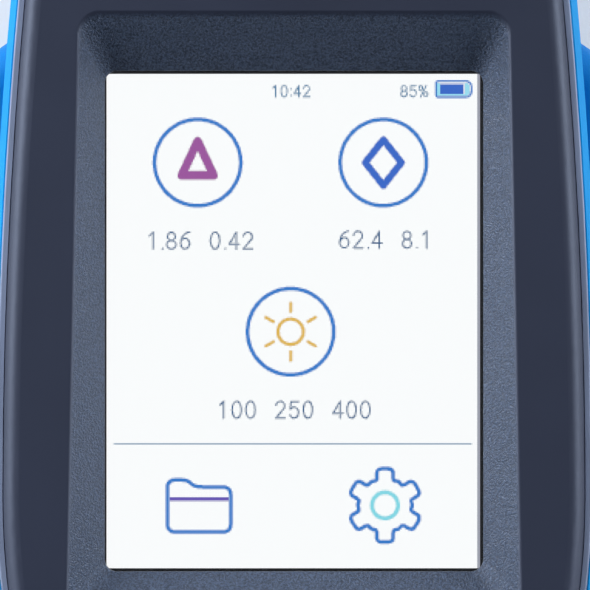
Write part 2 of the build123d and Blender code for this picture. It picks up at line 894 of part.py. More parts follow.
# ---------------------------------------------------------------------------------------------------
# Main board
# ---------------------------------------------------------------------------------------------------

with BuildPart() as main_board:
    with BuildSketch(face_plane(board_top_depth)):
        with Locations((0, (board_front_v + board_rear_v) / 2)):
            Rectangle(2 * board_half_width, board_rear_v - board_front_v)
        with Locations((0, (board_tongue_v + board_front_v) / 2)):
            Rectangle(2 * board_tongue_half_width, board_front_v - board_tongue_v)
        with Locations(*board_screw_points):
            Circle(small_screw_radius + screw_clearance, mode=Mode.SUBTRACT)
    extrude(amount=-board_thickness)
finish(main_board, "main_board")

with BuildPart() as board_connector:
    with BuildSketch(face_plane(board_top_depth)):
        with Locations((0, connector_v)):
            Rectangle(ribbon_width + 2 * connector_border, connector_length)
    extrude(amount=connector_height)
finish(board_connector, "board_connector")

with BuildPart() as board_chips:
    # Processor, memory, converter and power stage on the underside
    for x, v, width, length, height in board_chip_layout:
        with BuildSketch(face_plane(board_bottom_depth)):
            with Locations((x, v)):
                Rectangle(width, length)
        extrude(amount=-height)
finish(board_chips, "board_chips")

with BuildPart() as board_screws:
    add(screw(face_plane(board_bottom_depth), board_screw_points, small_screw_length))
finish(board_screws, "board_screws")

# ---------------------------------------------------------------------------------------------------
# Measure button
# ---------------------------------------------------------------------------------------------------

with BuildPart() as button_ring:
    with BuildSketch(face_plane(button_ring_depth)):
        with Locations((0, measure_v)):
            ring_length = measure_length + 2 * button_ring_width - 2 * fit_gap
            ring_width = measure_width + 2 * button_ring_width - 2 * fit_gap
            SlotOverall(ring_length, ring_width)
            SlotOverall(
                measure_length + 2 * button_gap, measure_width + 2 * button_gap, mode=Mode.SUBTRACT
            )
    extrude(amount=button_ring_depth + button_ring_proud)
    fillet(button_ring.faces().sort_by(face_axis)[-1].outer_wire().edges(), radius=button_ring_proud / 2)
finish(button_ring, "button_ring")

flange_depth = cover_wall + button_flange_drop
plunger_depth = board_top_depth - switch_height + plunger_engagement
with BuildPart() as measure_button:
    with BuildSketch(face_plane(flange_depth + button_flange_thickness)):
        with Locations((0, measure_v)):
            SlotOverall(measure_length, measure_width)
    extrude(amount=flange_depth + button_flange_thickness + measure_proud)
    fillet(measure_button.faces().sort_by(face_axis)[-1].edges(), radius=button_edge_radius)
    # Round dimple for the fingertip, inside the rounded edge
    dimple_radius = measure_width / 2 - button_edge_radius
    dimple_axis = Axis(measure_center, face.z_dir)
    with BuildSketch(face_side):
        with BuildLine():
            RadiusArc(
                (measure_v, measure_proud - button_dish),
                (measure_v + dimple_radius, measure_proud),
                -(dimple_radius**2 + button_dish**2) / (2 * button_dish),
            )
            Polyline(
                (measure_v + dimple_radius, measure_proud),
                (measure_v, measure_proud),
                (measure_v, measure_proud - button_dish),
            )
        make_face()
    revolve(axis=dimple_axis, mode=Mode.SUBTRACT)
    with BuildSketch(face_plane(flange_depth)):
        with Locations((0, measure_v)):
            SlotOverall(measure_length + 2 * button_flange, measure_width + 2 * button_flange)
    extrude(amount=-button_flange_thickness)
    with BuildSketch(face_plane(flange_depth)):
        with Locations((0, measure_v)):
            Circle(plunger_radius + button_wall)
    extrude(amount=-(board_top_depth - switch_height - measure_travel - button_wall / 2 - flange_depth))
    with BuildSketch(face_plane(flange_depth)):
        with Locations((0, measure_v)):
            Circle(plunger_radius)
    extrude(amount=-(plunger_depth - flange_depth))
finish(measure_button, "measure_button")

with BuildPart() as measure_switch:
    with BuildSketch(face_plane(board_top_depth)):
        with Locations((0, measure_v)):
            Rectangle(switch_side, switch_side)
    extrude(amount=switch_height)
    with BuildSketch(face_plane(board_top_depth - switch_height)):
        with Locations((0, measure_v)):
            Circle(plunger_radius + plunger_gap)
    extrude(amount=-(plunger_engagement + measure_travel + plunger_gap), mode=Mode.SUBTRACT)
finish(measure_switch, "measure_switch")

# ---------------------------------------------------------------------------------------------------
# Battery
# ---------------------------------------------------------------------------------------------------

with BuildPart() as battery_pack:
    with BuildSketch(Plane.XY.offset(shell_bottom_z + door_thickness)):
        with Locations((0, battery_y)):
            RectangleRounded(battery_width, battery_length, battery_corner_radius)
    extrude(amount=battery_height)
finish(battery_pack, "battery_pack")

with BuildPart() as battery_door:
    with BuildSketch(Plane.XY.offset(shell_bottom_z)):
        with Locations((0, battery_y)):
            RectangleRounded(
                bay_width + 2 * door_border - 2 * door_gap,
                bay_length + 2 * door_border - 2 * door_gap,
                door_corner_radius,
            )
    extrude(amount=door_thickness)
    with BuildSketch(Plane.XY.offset(shell_bottom_z)):
        with Locations(*door_screw_points):
            Circle(small_screw_head_radius + screw_clearance)
    extrude(amount=door_screw_sink, mode=Mode.SUBTRACT)
    with BuildSketch(Plane.XY.offset(shell_bottom_z)):
        with Locations(*door_screw_points):
            Circle(small_screw_radius + screw_clearance)
    extrude(amount=door_thickness, mode=Mode.SUBTRACT)
finish(battery_door, "battery_door")

with BuildPart() as door_screws:
    with BuildSketch(Plane.XY.offset(shell_bottom_z + door_screw_sink)):
        with Locations(*door_screw_points):
            Circle(small_screw_head_radius)
    extrude(amount=-door_screw_sink)
    with BuildSketch(Plane.XY.offset(shell_bottom_z + door_screw_sink)):
        with Locations(*door_screw_points):
            Circle(small_screw_radius)
    extrude(amount=small_screw_length)
finish(door_screws, "door_screws")

# ---------------------------------------------------------------------------------------------------
# Sample stage and port
# ---------------------------------------------------------------------------------------------------

stage = Plane((0, stage_y, 0))

with BuildPart() as sample_stage:
    with BuildSketch(stage.offset(stage_top_z)):
        Circle(stage_radius)
        Circle(port_neck_radius + fit_gap, mode=Mode.SUBTRACT)
    extrude(amount=-stage_rim_thickness)
    with BuildSketch(stage.offset(stage_top_z)):
        Circle(stage_radius - stage_step - fit_gap)
        Circle(port_neck_radius + fit_gap, mode=Mode.SUBTRACT)
    extrude(amount=-stage_hub_thickness)
    with BuildSketch(stage.offset(stage_top_z)):
        Circle(port_flange_radius + fit_gap)
    extrude(amount=-(port_flange_thickness - stage_recess), mode=Mode.SUBTRACT)
finish(sample_stage, "sample_stage")

port_window_z = deck_z - port_lip - port_seal_thickness - port_window_thickness
with BuildPart() as port_ring:
    with BuildSketch(stage.offset(deck_z)):
        Circle(port_flange_radius)
    extrude(amount=-port_flange_thickness)
    with BuildSketch(stage.offset(deck_z)):
        Circle(port_neck_radius)
    extrude(amount=stage_bottom_z - deck_z)
    with BuildSketch(stage.offset(stage_bottom_z)):
        Circle(port_window_radius + fit_gap)
    extrude(amount=deck_z - port_lip - stage_bottom_z, mode=Mode.SUBTRACT)
    with BuildSketch(stage.offset(deck_z)):
        Circle(port_radius)
    extrude(amount=-2 * port_lip, mode=Mode.SUBTRACT)
    chamfer(port_ring.edges().filter_by(GeomType.CIRCLE).group_by(Axis.Z)[-1], length=port_lip / 2)
finish(port_ring, "port_ring")

with BuildPart() as port_seal:
    with BuildSketch(stage.offset(port_window_z + port_window_thickness)):
        Circle(port_window_radius)
        Circle(port_radius + fit_gap, mode=Mode.SUBTRACT)
    extrude(amount=port_seal_thickness)
finish(port_seal, "port_seal")

with BuildPart() as port_window:
    with BuildSketch(stage.offset(port_window_z)):
        Circle(port_window_radius)
    extrude(amount=port_window_thickness)
finish(port_window, "port_window")

with BuildPart() as window_retainer:
    with BuildSketch(stage.offset(stage_bottom_z)):
        Circle(port_window_radius)
        Circle(port_window_radius - retainer_wall, mode=Mode.SUBTRACT)
    extrude(amount=port_window_z - stage_bottom_z)
finish(window_retainer, "window_retainer")

# ---------------------------------------------------------------------------------------------------
# Optics
# ---------------------------------------------------------------------------------------------------

led_focus_z = deck_z
led_slope = radians(led_angle)
led_reach = led_distance * sin(led_slope)
led_plane_z = led_focus_z - led_distance * cos(led_slope)
bore_length = (led_focus_z - block_pocket_top_z) / cos(led_slope)
cone_shift = (led_radius + fit_gap + led_wall) / sin(led_slope)


def led_axis(turn):
    """Plane at an LED's middle, its normal pointing up to the port."""
    around = radians(turn)
    outward = Vector(cos(around), sin(around), 0)
    return Plane(
        origin=(led_reach * outward.X, stage_y + led_reach * outward.Y, led_plane_z),
        x_dir=(-outward.Y, outward.X, 0),
        z_dir=(-sin(led_slope) * outward.X, -sin(led_slope) * outward.Y, cos(led_slope)),
    )


led_turns = [360 / led_count * (index + 0.5) for index in range(led_count)]

with BuildPart() as optics_block:
    with BuildSketch(Plane.XZ.offset(-stage_y)):
        with BuildLine():
            Polyline(
                (barrel_radius + fit_gap, block_flange_z),
                (block_hub_radius, block_flange_z),
                (block_hub_radius, block_pocket_top_z),
                (block_pocket_radius, block_pocket_top_z),
                (block_pocket_radius, block_flange_z),
                (block_flange_radius, block_flange_z),
                (block_flange_radius, block_flange_z + block_flange_thickness),
                (block_shoulder_radius, block_flange_z + block_flange_thickness),
                (block_shoulder_radius, led_focus_z + cone_shift - block_shoulder_radius),
                (block_neck_radius, led_focus_z + cone_shift - block_neck_radius),
                (block_neck_radius, block_top_z),
                (chamber_top_radius, block_top_z),
                (barrel_radius + fit_gap, block_pocket_top_z + block_flange_thickness),
                close=True,
            )
        make_face()
    revolve(axis=Axis((0, stage_y, 0), (0, 0, 1)))
    # Lugs over the posts
    with BuildSketch(Plane.XY.offset(block_flange_z)):
        with Locations(*optics_post_points):
            Circle(optics_post_radius)
    extrude(amount=block_flange_thickness)
    # Bores that aim the LEDs at the port
    for turn in led_turns:
        with BuildSketch(led_axis(turn)):
            Circle(led_radius + fit_gap)
        extrude(amount=led_distance - block_neck_radius / 2, mode=Mode.SUBTRACT)
        with BuildSketch(led_axis(turn)):
            Circle(led_radius + fit_gap)
        extrude(amount=led_distance - bore_length, mode=Mode.SUBTRACT)
    # Screw holes through the lugs, with room for the heads
    with BuildSketch(Plane.XY.offset(block_flange_z)):
        with Locations(*optics_post_points):
            Circle(small_screw_radius + screw_clearance)
    extrude(amount=block_flange_thickness, mode=Mode.SUBTRACT)
    with BuildSketch(Plane.XY.offset(block_flange_z + block_flange_thickness)):
        with Locations(*optics_post_points):
            Circle(small_screw_head_radius + screw_clearance)
    extrude(amount=block_top_z, mode=Mode.SUBTRACT)
finish(optics_block, "optics_block")

with BuildPart() as optics_screws:
    add(screw(Plane.XY.offset(block_flange_z + block_flange_thickness), optics_post_points, optics_screw_length, 1))
finish(optics_screws, "optics_screws")

with BuildPart() as leds:
    for turn in led_turns:
        with BuildSketch(led_axis(turn).offset(-led_length / 2)):
            Circle(led_radius)
        extrude(amount=led_length - led_radius)
        with BuildPart(led_axis(turn).offset(led_length / 2 - led_radius), mode=Mode.PRIVATE) as dome:
            Sphere(led_radius)
        add(dome.part)
        # Two leads straight down to the board
        lead_reach = led_reach + led_length / 2 * sin(led_slope)
        for spread in (-led_lead_spread, led_lead_spread):
            x = lead_reach * cos(radians(turn)) - spread * sin(radians(turn))
            y = stage_y + lead_reach * sin(radians(turn)) + spread * cos(radians(turn))
            with BuildSketch(Plane.XY.offset(led_board_z + board_thickness)):
                with Locations(Location((x, y, 0), turn)):
                    Rectangle(led_lead_width, led_lead_width)
            extrude(amount=led_plane_z - led_length / 2 * cos(led_slope) - led_board_z - board_thickness)
finish(leds, "leds")

with BuildPart() as led_board:
    with BuildSketch(stage.offset(led_board_z)):
        Circle(led_board_outer_radius)
        Circle(led_board_inner_radius, mode=Mode.SUBTRACT)
    extrude(amount=board_thickness)
finish(led_board, "led_board")

with BuildPart() as lens_barrel:
    with BuildSketch(Plane.XZ.offset(-stage_y)):
        with BuildLine():
            Polyline(
                (barrel_radius - barrel_wall, barrel_bottom_z),
                (barrel_flange_radius, barrel_bottom_z),
                (barrel_flange_radius, barrel_bottom_z + barrel_flange_thickness),
                (barrel_radius, barrel_bottom_z + barrel_flange_thickness),
                (barrel_radius, block_pocket_top_z),
                (barrel_radius - barrel_wall, block_pocket_top_z),
                (barrel_radius - barrel_wall, lens_z),
                (barrel_radius - barrel_wall - lens_shelf, lens_z),
                (barrel_radius - barrel_wall - lens_shelf, lens_z - lens_shelf),
                (barrel_radius - barrel_wall, lens_z - lens_shelf),
                close=True,
            )
        make_face()
    revolve(axis=Axis((0, stage_y, 0), (0, 0, 1)))
    with BuildSketch(stage.offset(barrel_bottom_z)):
        with Locations((-barrel_screw_x, 0), (barrel_screw_x, 0)):
            Circle(small_screw_radius + pilot_gap)
    extrude(amount=barrel_flange_thickness, mode=Mode.SUBTRACT)
finish(lens_barrel, "lens_barrel")

lens_radius = barrel_radius - barrel_wall - fit_gap
lens_back_radius = barrel_radius - barrel_wall - lens_shelf - fit_gap
lens_top_z = lens_z + lens_edge_thickness + sag(lens_curve_radius, lens_radius)
lens_bottom_z = lens_z - sag(lens_curve_radius, lens_back_radius)
with BuildPart() as collecting_lens:
    with BuildSketch(Plane.XZ.offset(-stage_y)):
        with BuildLine():
            Line((0, lens_bottom_z), (0, lens_top_z))
            RadiusArc((0, lens_top_z), (lens_radius, lens_z + lens_edge_thickness), lens_curve_radius)
            Polyline((lens_radius, lens_z + lens_edge_thickness), (lens_radius, lens_z), (lens_back_radius, lens_z))
            RadiusArc((lens_back_radius, lens_z), (0, lens_bottom_z), lens_curve_radius)
        make_face()
    revolve(axis=Axis((0, stage_y, 0), (0, 0, 1)))
finish(collecting_lens, "collecting_lens")

with BuildPart() as detector_board:
    with BuildSketch(stage.offset(barrel_bottom_z)):
        RectangleRounded(detector_board_side, detector_board_side, touch_corner_radius)
        with Locations((-barrel_screw_x, 0), (barrel_screw_x, 0)):
            Circle(small_screw_radius + screw_clearance, mode=Mode.SUBTRACT)
    extrude(amount=-board_thickness)
finish(detector_board, "detector_board")

with BuildPart() as detector:
    with BuildSketch(stage.offset(barrel_bottom_z)):
        Rectangle(detector_side, detector_side)
    extrude(amount=detector_height)
finish(detector, "detector")

with BuildPart() as detector_screws:
    with BuildSketch(stage.offset(barrel_bottom_z - board_thickness)):
        with Locations((-barrel_screw_x, 0), (barrel_screw_x, 0)):
            Circle(small_screw_head_radius)
    extrude(amount=-small_screw_head_height)
    with BuildSketch(stage.offset(barrel_bottom_z - board_thickness)):
        with Locations((-barrel_screw_x, 0), (barrel_screw_x, 0)):
            Circle(small_screw_radius)
    extrude(amount=board_thickness + barrel_flange_thickness - pilot_gap)
finish(detector_screws, "detector_screws")

# ---------------------------------------------------------------------------------------------------
# Lid
# ---------------------------------------------------------------------------------------------------


def lid_outline(inset):
    """Plan outline of the lid moved inward by inset: it follows the instrument's flanks."""
    with BuildSketch() as outline:
        with Locations((0, (lid_front_y + lid_rear_y) / 2)):
            Rectangle(2 * half_width, lid_rear_y - lid_front_y - 2 * inset)
        for side in (-1, 1):
            with Locations((side * (half_width - rear_flank_radius), widest_y)):
                Circle(rear_flank_radius - lid_inset - inset, mode=Mode.INTERSECT)
        fillet(outline.vertices(), radius=lid_corner_radius - inset)
    return outline.sketch


def lid_side(drop):
    """Side view of the space under the lid's bowed top lowered by drop."""
    front_z = lid_bottom_z + lid_front_height - drop
    rear_z = lid_bottom_z + lid_rear_height - drop
    with BuildSketch() as region:
        with BuildLine():
            ThreePointArc(
                (lid_front_y, front_z),
                ((lid_front_y + lid_rear_y) / 2, (front_z + rear_z) / 2 + lid_top_bow),
                (lid_rear_y, rear_z),
            )
            Polyline((lid_rear_y, rear_z), (lid_rear_y, 0), (lid_front_y, 0), (lid_front_y, front_z))
        make_face()
    return region.sketch


barrel_half_span = hinge_half_span - ear_width - ear_gap
with BuildPart() as lid_cover:
    with BuildSketch(Plane.XY.offset(lid_bottom_z)):
        add(lid_outline(0))
    extrude(amount=2 * lid_rear_height)
    with BuildSketch(Plane.YZ):
        add(lid_side(0))
    extrude(amount=reach_x, both=True, mode=Mode.INTERSECT)
    fillet(lid_cover.faces().sort_by(Axis.Z)[-1].edges(), radius=lid_edge_radius)
    with BuildPart(mode=Mode.PRIVATE) as hollow:
        with BuildSketch(Plane.XY.offset(lid_bottom_z)):
            add(lid_outline(lid_wall))
        extrude(amount=2 * lid_rear_height)
        with BuildSketch(Plane.YZ):
            add(lid_side(lid_wall))
        extrude(amount=reach_x, both=True, mode=Mode.INTERSECT)
    add(hollow.part, mode=Mode.SUBTRACT)
    # Bosses for the liner screws and a pillar that backs the tile cushion
    with BuildSketch(Plane.XY.offset(holder_flange_z)):
        with Locations(*liner_screw_points):
            Circle(liner_boss_radius)
    extrude(until=Until.NEXT)
    with BuildSketch(Plane.XY.offset(holder_top_z + cushion_thickness)):
        with Locations((0, stage_y)):
            Circle(cushion_radius)
            Circle(cushion_radius - lid_wall, mode=Mode.SUBTRACT)
    extrude(until=Until.NEXT)
    with BuildSketch(Plane.XY.offset(holder_flange_z)):
        with Locations(*liner_screw_points):
            Circle(small_screw_radius + pilot_gap)
    extrude(amount=small_screw_length - liner_thickness + pilot_gap, mode=Mode.SUBTRACT)
    # Finger tab at the front
    with BuildSketch(Plane.XY.offset(lid_bottom_z + lid_tab_lift)):
        with Locations((0, lid_front_y + lid_wall / 2 - lid_tab_reach / 2)):
            RectangleRounded(lid_tab_width, lid_tab_reach + lid_wall, lid_tab_corner_radius)
    extrude(amount=lid_tab_thickness)
    # Hinge barrel on a web behind the rear wall
    with BuildSketch(Plane.YZ):
        with Locations((hinge_y, hinge_z)):
            Circle(hinge_barrel_radius)
        with Locations(((lid_rear_y - lid_wall / 2 + hinge_y) / 2, hinge_z)):
            Rectangle(hinge_y - lid_rear_y + lid_wall / 2, hinge_web_height)
    extrude(amount=barrel_half_span, both=True)
    with BuildSketch(Plane.YZ):
        with Locations((hinge_y, hinge_z)):
            Circle(pin_radius + pin_clearance)
    extrude(amount=reach_x, both=True, mode=Mode.SUBTRACT)
finish(lid_cover, "lid_cover")

with BuildPart() as lid_liner:
    with BuildSketch(Plane.XY.offset(liner_z)):
        add(lid_outline(lid_wall + fit_gap))
        with Locations((0, stage_y)):
            Circle(tile_radius + fit_gap + holder_wall + fit_gap, mode=Mode.SUBTRACT)
        with Locations(*magnet_points):
            Circle(magnet_radius + fit_gap, mode=Mode.SUBTRACT)
        with Locations(*liner_screw_points):
            Circle(small_screw_radius + screw_clearance, mode=Mode.SUBTRACT)
    extrude(amount=liner_thickness)
finish(lid_liner, "lid_liner")

with BuildPart() as liner_screws:
    with BuildSketch(Plane.XY.offset(liner_z)):
        with Locations(*liner_screw_points):
            Circle(small_screw_head_radius)
    extrude(amount=-liner_screw_head)
    with BuildSketch(Plane.XY.offset(liner_z)):
        with Locations(*liner_screw_points):
            Circle(small_screw_radius)
    extrude(amount=small_screw_length)
finish(liner_screws, "liner_screws")

with BuildPart() as light_seal:
    with BuildSketch(Plane.XY.offset(lid_bottom_z)):
        add(lid_outline(lid_wall + fit_gap))
        add(lid_outline(lid_wall + fit_gap + seal_width), mode=Mode.SUBTRACT)
    extrude(amount=seal_thickness)
finish(light_seal, "light_seal")

with BuildPart() as lid_magnets:
    with BuildSketch(Plane.XY.offset(liner_z + liner_thickness - magnet_thickness)):
        with Locations(*magnet_points):
            Circle(magnet_radius)
    extrude(amount=magnet_thickness)
finish(lid_magnets, "lid_magnets")

with BuildPart() as catch_plates:
    with BuildSketch(Plane.XY.offset(deck_z)):
        with Locations(*magnet_points):
            Circle(magnet_radius)
    extrude(amount=-catch_thickness)
finish(catch_plates, "catch_plates")

with BuildPart() as tile_holder:
    with BuildSketch(stage.offset(holder_z)):
        Circle(tile_radius + fit_gap + holder_wall)
    extrude(amount=holder_top_z - holder_z)
    with BuildSketch(stage.offset(holder_flange_z)):
        Circle(tile_radius + fit_gap + holder_wall + holder_flange)
    extrude(amount=holder_flange_thickness)
    with BuildSketch(stage.offset(holder_z)):
        Circle(tile_radius + fit_gap)
    extrude(amount=tile_z + tile_thickness - holder_z, mode=Mode.SUBTRACT)
finish(tile_holder, "tile_holder")

with BuildPart() as white_tile:
    with BuildSketch(stage.offset(tile_z)):
        Circle(tile_radius)
    extrude(amount=tile_thickness)
    chamfer(white_tile.edges().group_by(Axis.Z)[0], length=port_lip / 2)
finish(white_tile, "white_tile")

with BuildPart() as tile_cushion:
    with BuildSketch(stage.offset(holder_top_z)):
        Circle(cushion_radius)
    extrude(amount=cushion_thickness)
finish(tile_cushion, "tile_cushion")

with BuildPart() as hinge_pin:
    with BuildSketch(Plane.YZ):
        with Locations((hinge_y, hinge_z)):
            Circle(pin_radius)
    extrude(amount=hinge_half_span - fit_gap, both=True)
finish(hinge_pin, "hinge_pin")

# ---------------------------------------------------------------------------------------------------
# Rear connector panel
# ---------------------------------------------------------------------------------------------------


def rear_plane(y):
    """Upright plane at this station, seen from the rear, with +X still to the right of the instrument."""
    return Plane(origin=(0, y, panel_z), x_dir=(1, 0, 0), z_dir=(0, -1, 0))


with BuildPart() as rear_panel:
    with BuildSketch(rear_plane(panel_face_y)):
        RectangleRounded(panel_width - 2 * fit_gap, panel_height - 2 * fit_gap, panel_corner_radius - fit_gap)
    extrude(amount=panel_face_y - panel_inner_y)
    with BuildSketch(rear_plane(panel_flange_y)):
        RectangleRounded(
            panel_width + 2 * panel_flange, panel_height + 2 * panel_flange, panel_corner_radius + panel_flange
        )
    extrude(amount=panel_flange_y - panel_inner_y)
    # Pillars that carry the I/O board
    with BuildSketch(rear_plane(panel_inner_y)):
        with Locations(*pillar_points):
            Circle(panel_pillar_radius)
    extrude(amount=panel_inner_y - io_board_y - board_thickness)
    with BuildSketch(rear_plane(io_board_y + board_thickness)):
        with Locations(*pillar_points):
            Circle(small_screw_radius + pilot_gap)
    extrude(amount=-pilot_depth, mode=Mode.SUBTRACT)
    # Holes for the USB socket and the power button
    with BuildSketch(rear_plane(panel_face_y)):
        with Locations((usb_x, 0)):
            SlotOverall(usb_width + 2 * fit_gap, usb_height + 2 * fit_gap)
        with Locations((power_x, 0)):
            Circle(power_radius + button_gap)
    extrude(amount=panel_face_y - panel_inner_y, mode=Mode.SUBTRACT)
finish(rear_panel, "rear_panel")

with BuildPart() as io_board:
    with BuildSketch(rear_plane(io_board_y + board_thickness)):
        Rectangle(2 * io_board_half_width, 2 * io_board_half_height)
        with Locations(*pillar_points):
            Circle(small_screw_radius + screw_clearance, mode=Mode.SUBTRACT)
    extrude(amount=board_thickness)
finish(io_board, "io_board")

with BuildPart() as io_screws:
    with BuildSketch(rear_plane(io_board_y)):
        with Locations(*pillar_points):
            Circle(small_screw_head_radius)
    extrude(amount=small_screw_head_height)
    with BuildSketch(rear_plane(io_board_y)):
        with Locations(*pillar_points):
            Circle(small_screw_radius)
    extrude(amount=-small_screw_length)
finish(io_screws, "io_screws")

with BuildPart() as usb_socket:
    with BuildSketch(rear_plane(panel_face_y - usb_setback)):
        with Locations((usb_x, 0)):
            SlotOverall(usb_width, usb_height)
    extrude(amount=panel_face_y - usb_setback - io_board_y - board_thickness)
    with BuildSketch(rear_plane(panel_face_y - usb_setback)):
        with Locations((usb_x, 0)):
            SlotOverall(usb_width - 2 * usb_wall, usb_height - 2 * usb_wall)
            Rectangle(usb_tongue_width, usb_tongue_thickness, mode=Mode.SUBTRACT)
    extrude(amount=usb_depth, mode=Mode.SUBTRACT)
finish(usb_socket, "usb_socket")

power_flange_y = panel_inner_y - button_flange_drop
power_plunger_y = io_board_y + board_thickness + switch_height - plunger_engagement
with BuildPart() as power_button:
    with BuildSketch(rear_plane(panel_face_y + power_proud)):
        with Locations((power_x, 0)):
            Circle(power_radius)
    extrude(amount=panel_face_y + power_proud - power_flange_y)
    fillet(power_button.edges().group_by(Axis.Y)[-1], radius=power_proud / 2)
    with BuildSketch(rear_plane(power_flange_y)):
        with Locations((power_x, 0)):
            Circle(power_radius + power_flange)
    extrude(amount=button_flange_thickness)
    with BuildSketch(rear_plane(power_flange_y)):
        with Locations((power_x, 0)):
            Circle(plunger_radius)
    extrude(amount=power_flange_y - power_plunger_y)
finish(power_button, "power_button")

with BuildPart() as power_switch:
    with BuildSketch(rear_plane(io_board_y + board_thickness + switch_height)):
        with Locations((power_x, 0)):
            Rectangle(switch_side, switch_side)
    extrude(amount=switch_height)
    with BuildSketch(rear_plane(io_board_y + board_thickness + switch_height)):
        with Locations((power_x, 0)):
            Circle(plunger_radius + plunger_gap)
    extrude(amount=plunger_engagement + power_travel + plunger_gap, mode=Mode.SUBTRACT)
finish(power_switch, "power_switch")
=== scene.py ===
import json
import math

import bmesh
import bpy
from mathutils import Matrix, Vector


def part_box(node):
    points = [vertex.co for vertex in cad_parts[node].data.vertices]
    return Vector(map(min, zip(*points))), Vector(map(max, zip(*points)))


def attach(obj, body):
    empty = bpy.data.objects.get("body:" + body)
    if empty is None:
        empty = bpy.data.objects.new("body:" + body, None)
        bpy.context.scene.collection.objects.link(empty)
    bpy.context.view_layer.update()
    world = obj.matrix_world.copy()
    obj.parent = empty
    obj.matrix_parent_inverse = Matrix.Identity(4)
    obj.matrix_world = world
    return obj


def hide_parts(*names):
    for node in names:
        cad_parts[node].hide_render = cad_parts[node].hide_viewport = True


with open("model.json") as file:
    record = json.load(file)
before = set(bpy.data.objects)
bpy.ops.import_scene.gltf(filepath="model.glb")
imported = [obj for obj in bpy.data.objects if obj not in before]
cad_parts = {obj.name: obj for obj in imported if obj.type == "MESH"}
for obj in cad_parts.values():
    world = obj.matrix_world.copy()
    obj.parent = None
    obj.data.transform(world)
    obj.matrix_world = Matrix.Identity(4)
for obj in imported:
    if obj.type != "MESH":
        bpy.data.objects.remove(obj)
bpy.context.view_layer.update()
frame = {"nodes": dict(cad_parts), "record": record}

NODES = frame["nodes"]
SLOT_OF = {s["node"]: s["material_slot"] for s in frame["record"]["subparts"]}
MM = 0.001

# ---------------------------------------------------------------------------
# The tilted face of the instrument: x to the right, v up the face, n out of it
# ---------------------------------------------------------------------------
TILT = math.radians(16)
FACE_U = Vector((0, math.cos(TILT), math.sin(TILT)))
FACE_N = Vector((0, -math.sin(TILT), math.cos(TILT)))
FACE_O = Vector((0, -0.023, 0.050))


def on_face(x, v, n):
    """A point of the tilted face, from millimetres."""
    return FACE_O + Vector((x, 0, 0)) * MM + FACE_U * (v * MM) + FACE_N * (n * MM)


def srgb(r, g, b):
    """Linear colour of an 8-bit screen colour."""
    channels = (r / 255, g / 255, b / 255)
    return tuple(c / 12.92 if c <= 0.04045 else ((c + 0.055) / 1.055) ** 2.4 for c in channels)


def shade(colour, factor):
    return tuple(min(1.0, c * factor) for c in colour)


# ---------------------------------------------------------------------------
# Nodes, for materials and for the world
# ---------------------------------------------------------------------------
class Nodes:
    """One node tree, with short names for the nodes used here."""

    def __init__(self, tree):
        self.tree = tree

    def node(self, kind, **values):
        made = self.tree.nodes.new(kind)
        for key, value in values.items():
            setattr(made, key, value)
        return made

    def link(self, a, b):
        self.tree.links.new(a, b)

    def fill(self, socket, value):
        """Link another socket to this one, or give it a plain value."""
        if isinstance(value, bpy.types.NodeSocket):
            self.link(value, socket)
        elif socket.type == "RGBA":
            socket.default_value = (*value, 1.0)
        else:
            socket.default_value = value

    def math(self, operation, a, b=None, clamp=False):
        made = self.node("ShaderNodeMath", operation=operation, use_clamp=clamp)
        self.fill(made.inputs[0], a)
        if b is not None:
            self.fill(made.inputs[1], b)
        return made.outputs[0]

    def vector(self, operation, a, b):
        made = self.node("ShaderNodeVectorMath", operation=operation)
        self.fill(made.inputs[0], a)
        self.fill(made.inputs[1], b)
        return made.outputs["Value" if operation == "DOT_PRODUCT" else "Vector"]

    def ramp(self, value, low, high, a, b):
        """value from low..high stretched to a..b, clamped."""
        made = self.node("ShaderNodeMapRange")
        self.link(value, made.inputs["Value"])
        for key, number in zip(("From Min", "From Max", "To Min", "To Max"), (low, high, a, b)):
            made.inputs[key].default_value = number
        return made.outputs[0]

    def mix(self, share, a, b):
        made = self.node("ShaderNodeMix", data_type="RGBA")
        self.fill(made.inputs["Factor"], share)
        for key, value in (("A", a), ("B", b)):
            self.fill(next(s for s in made.inputs if s.name == key and s.type == "RGBA"), value)
        return next(s for s in made.outputs if s.type == "RGBA")

    def either(self, share, a, b):
        """Shader a, turning to b as share goes from 0 to 1."""
        made = self.node("ShaderNodeMixShader")
        for socket, value in zip(made.inputs, (share, a, b)):
            self.link(value, socket)
        return made.outputs[0]


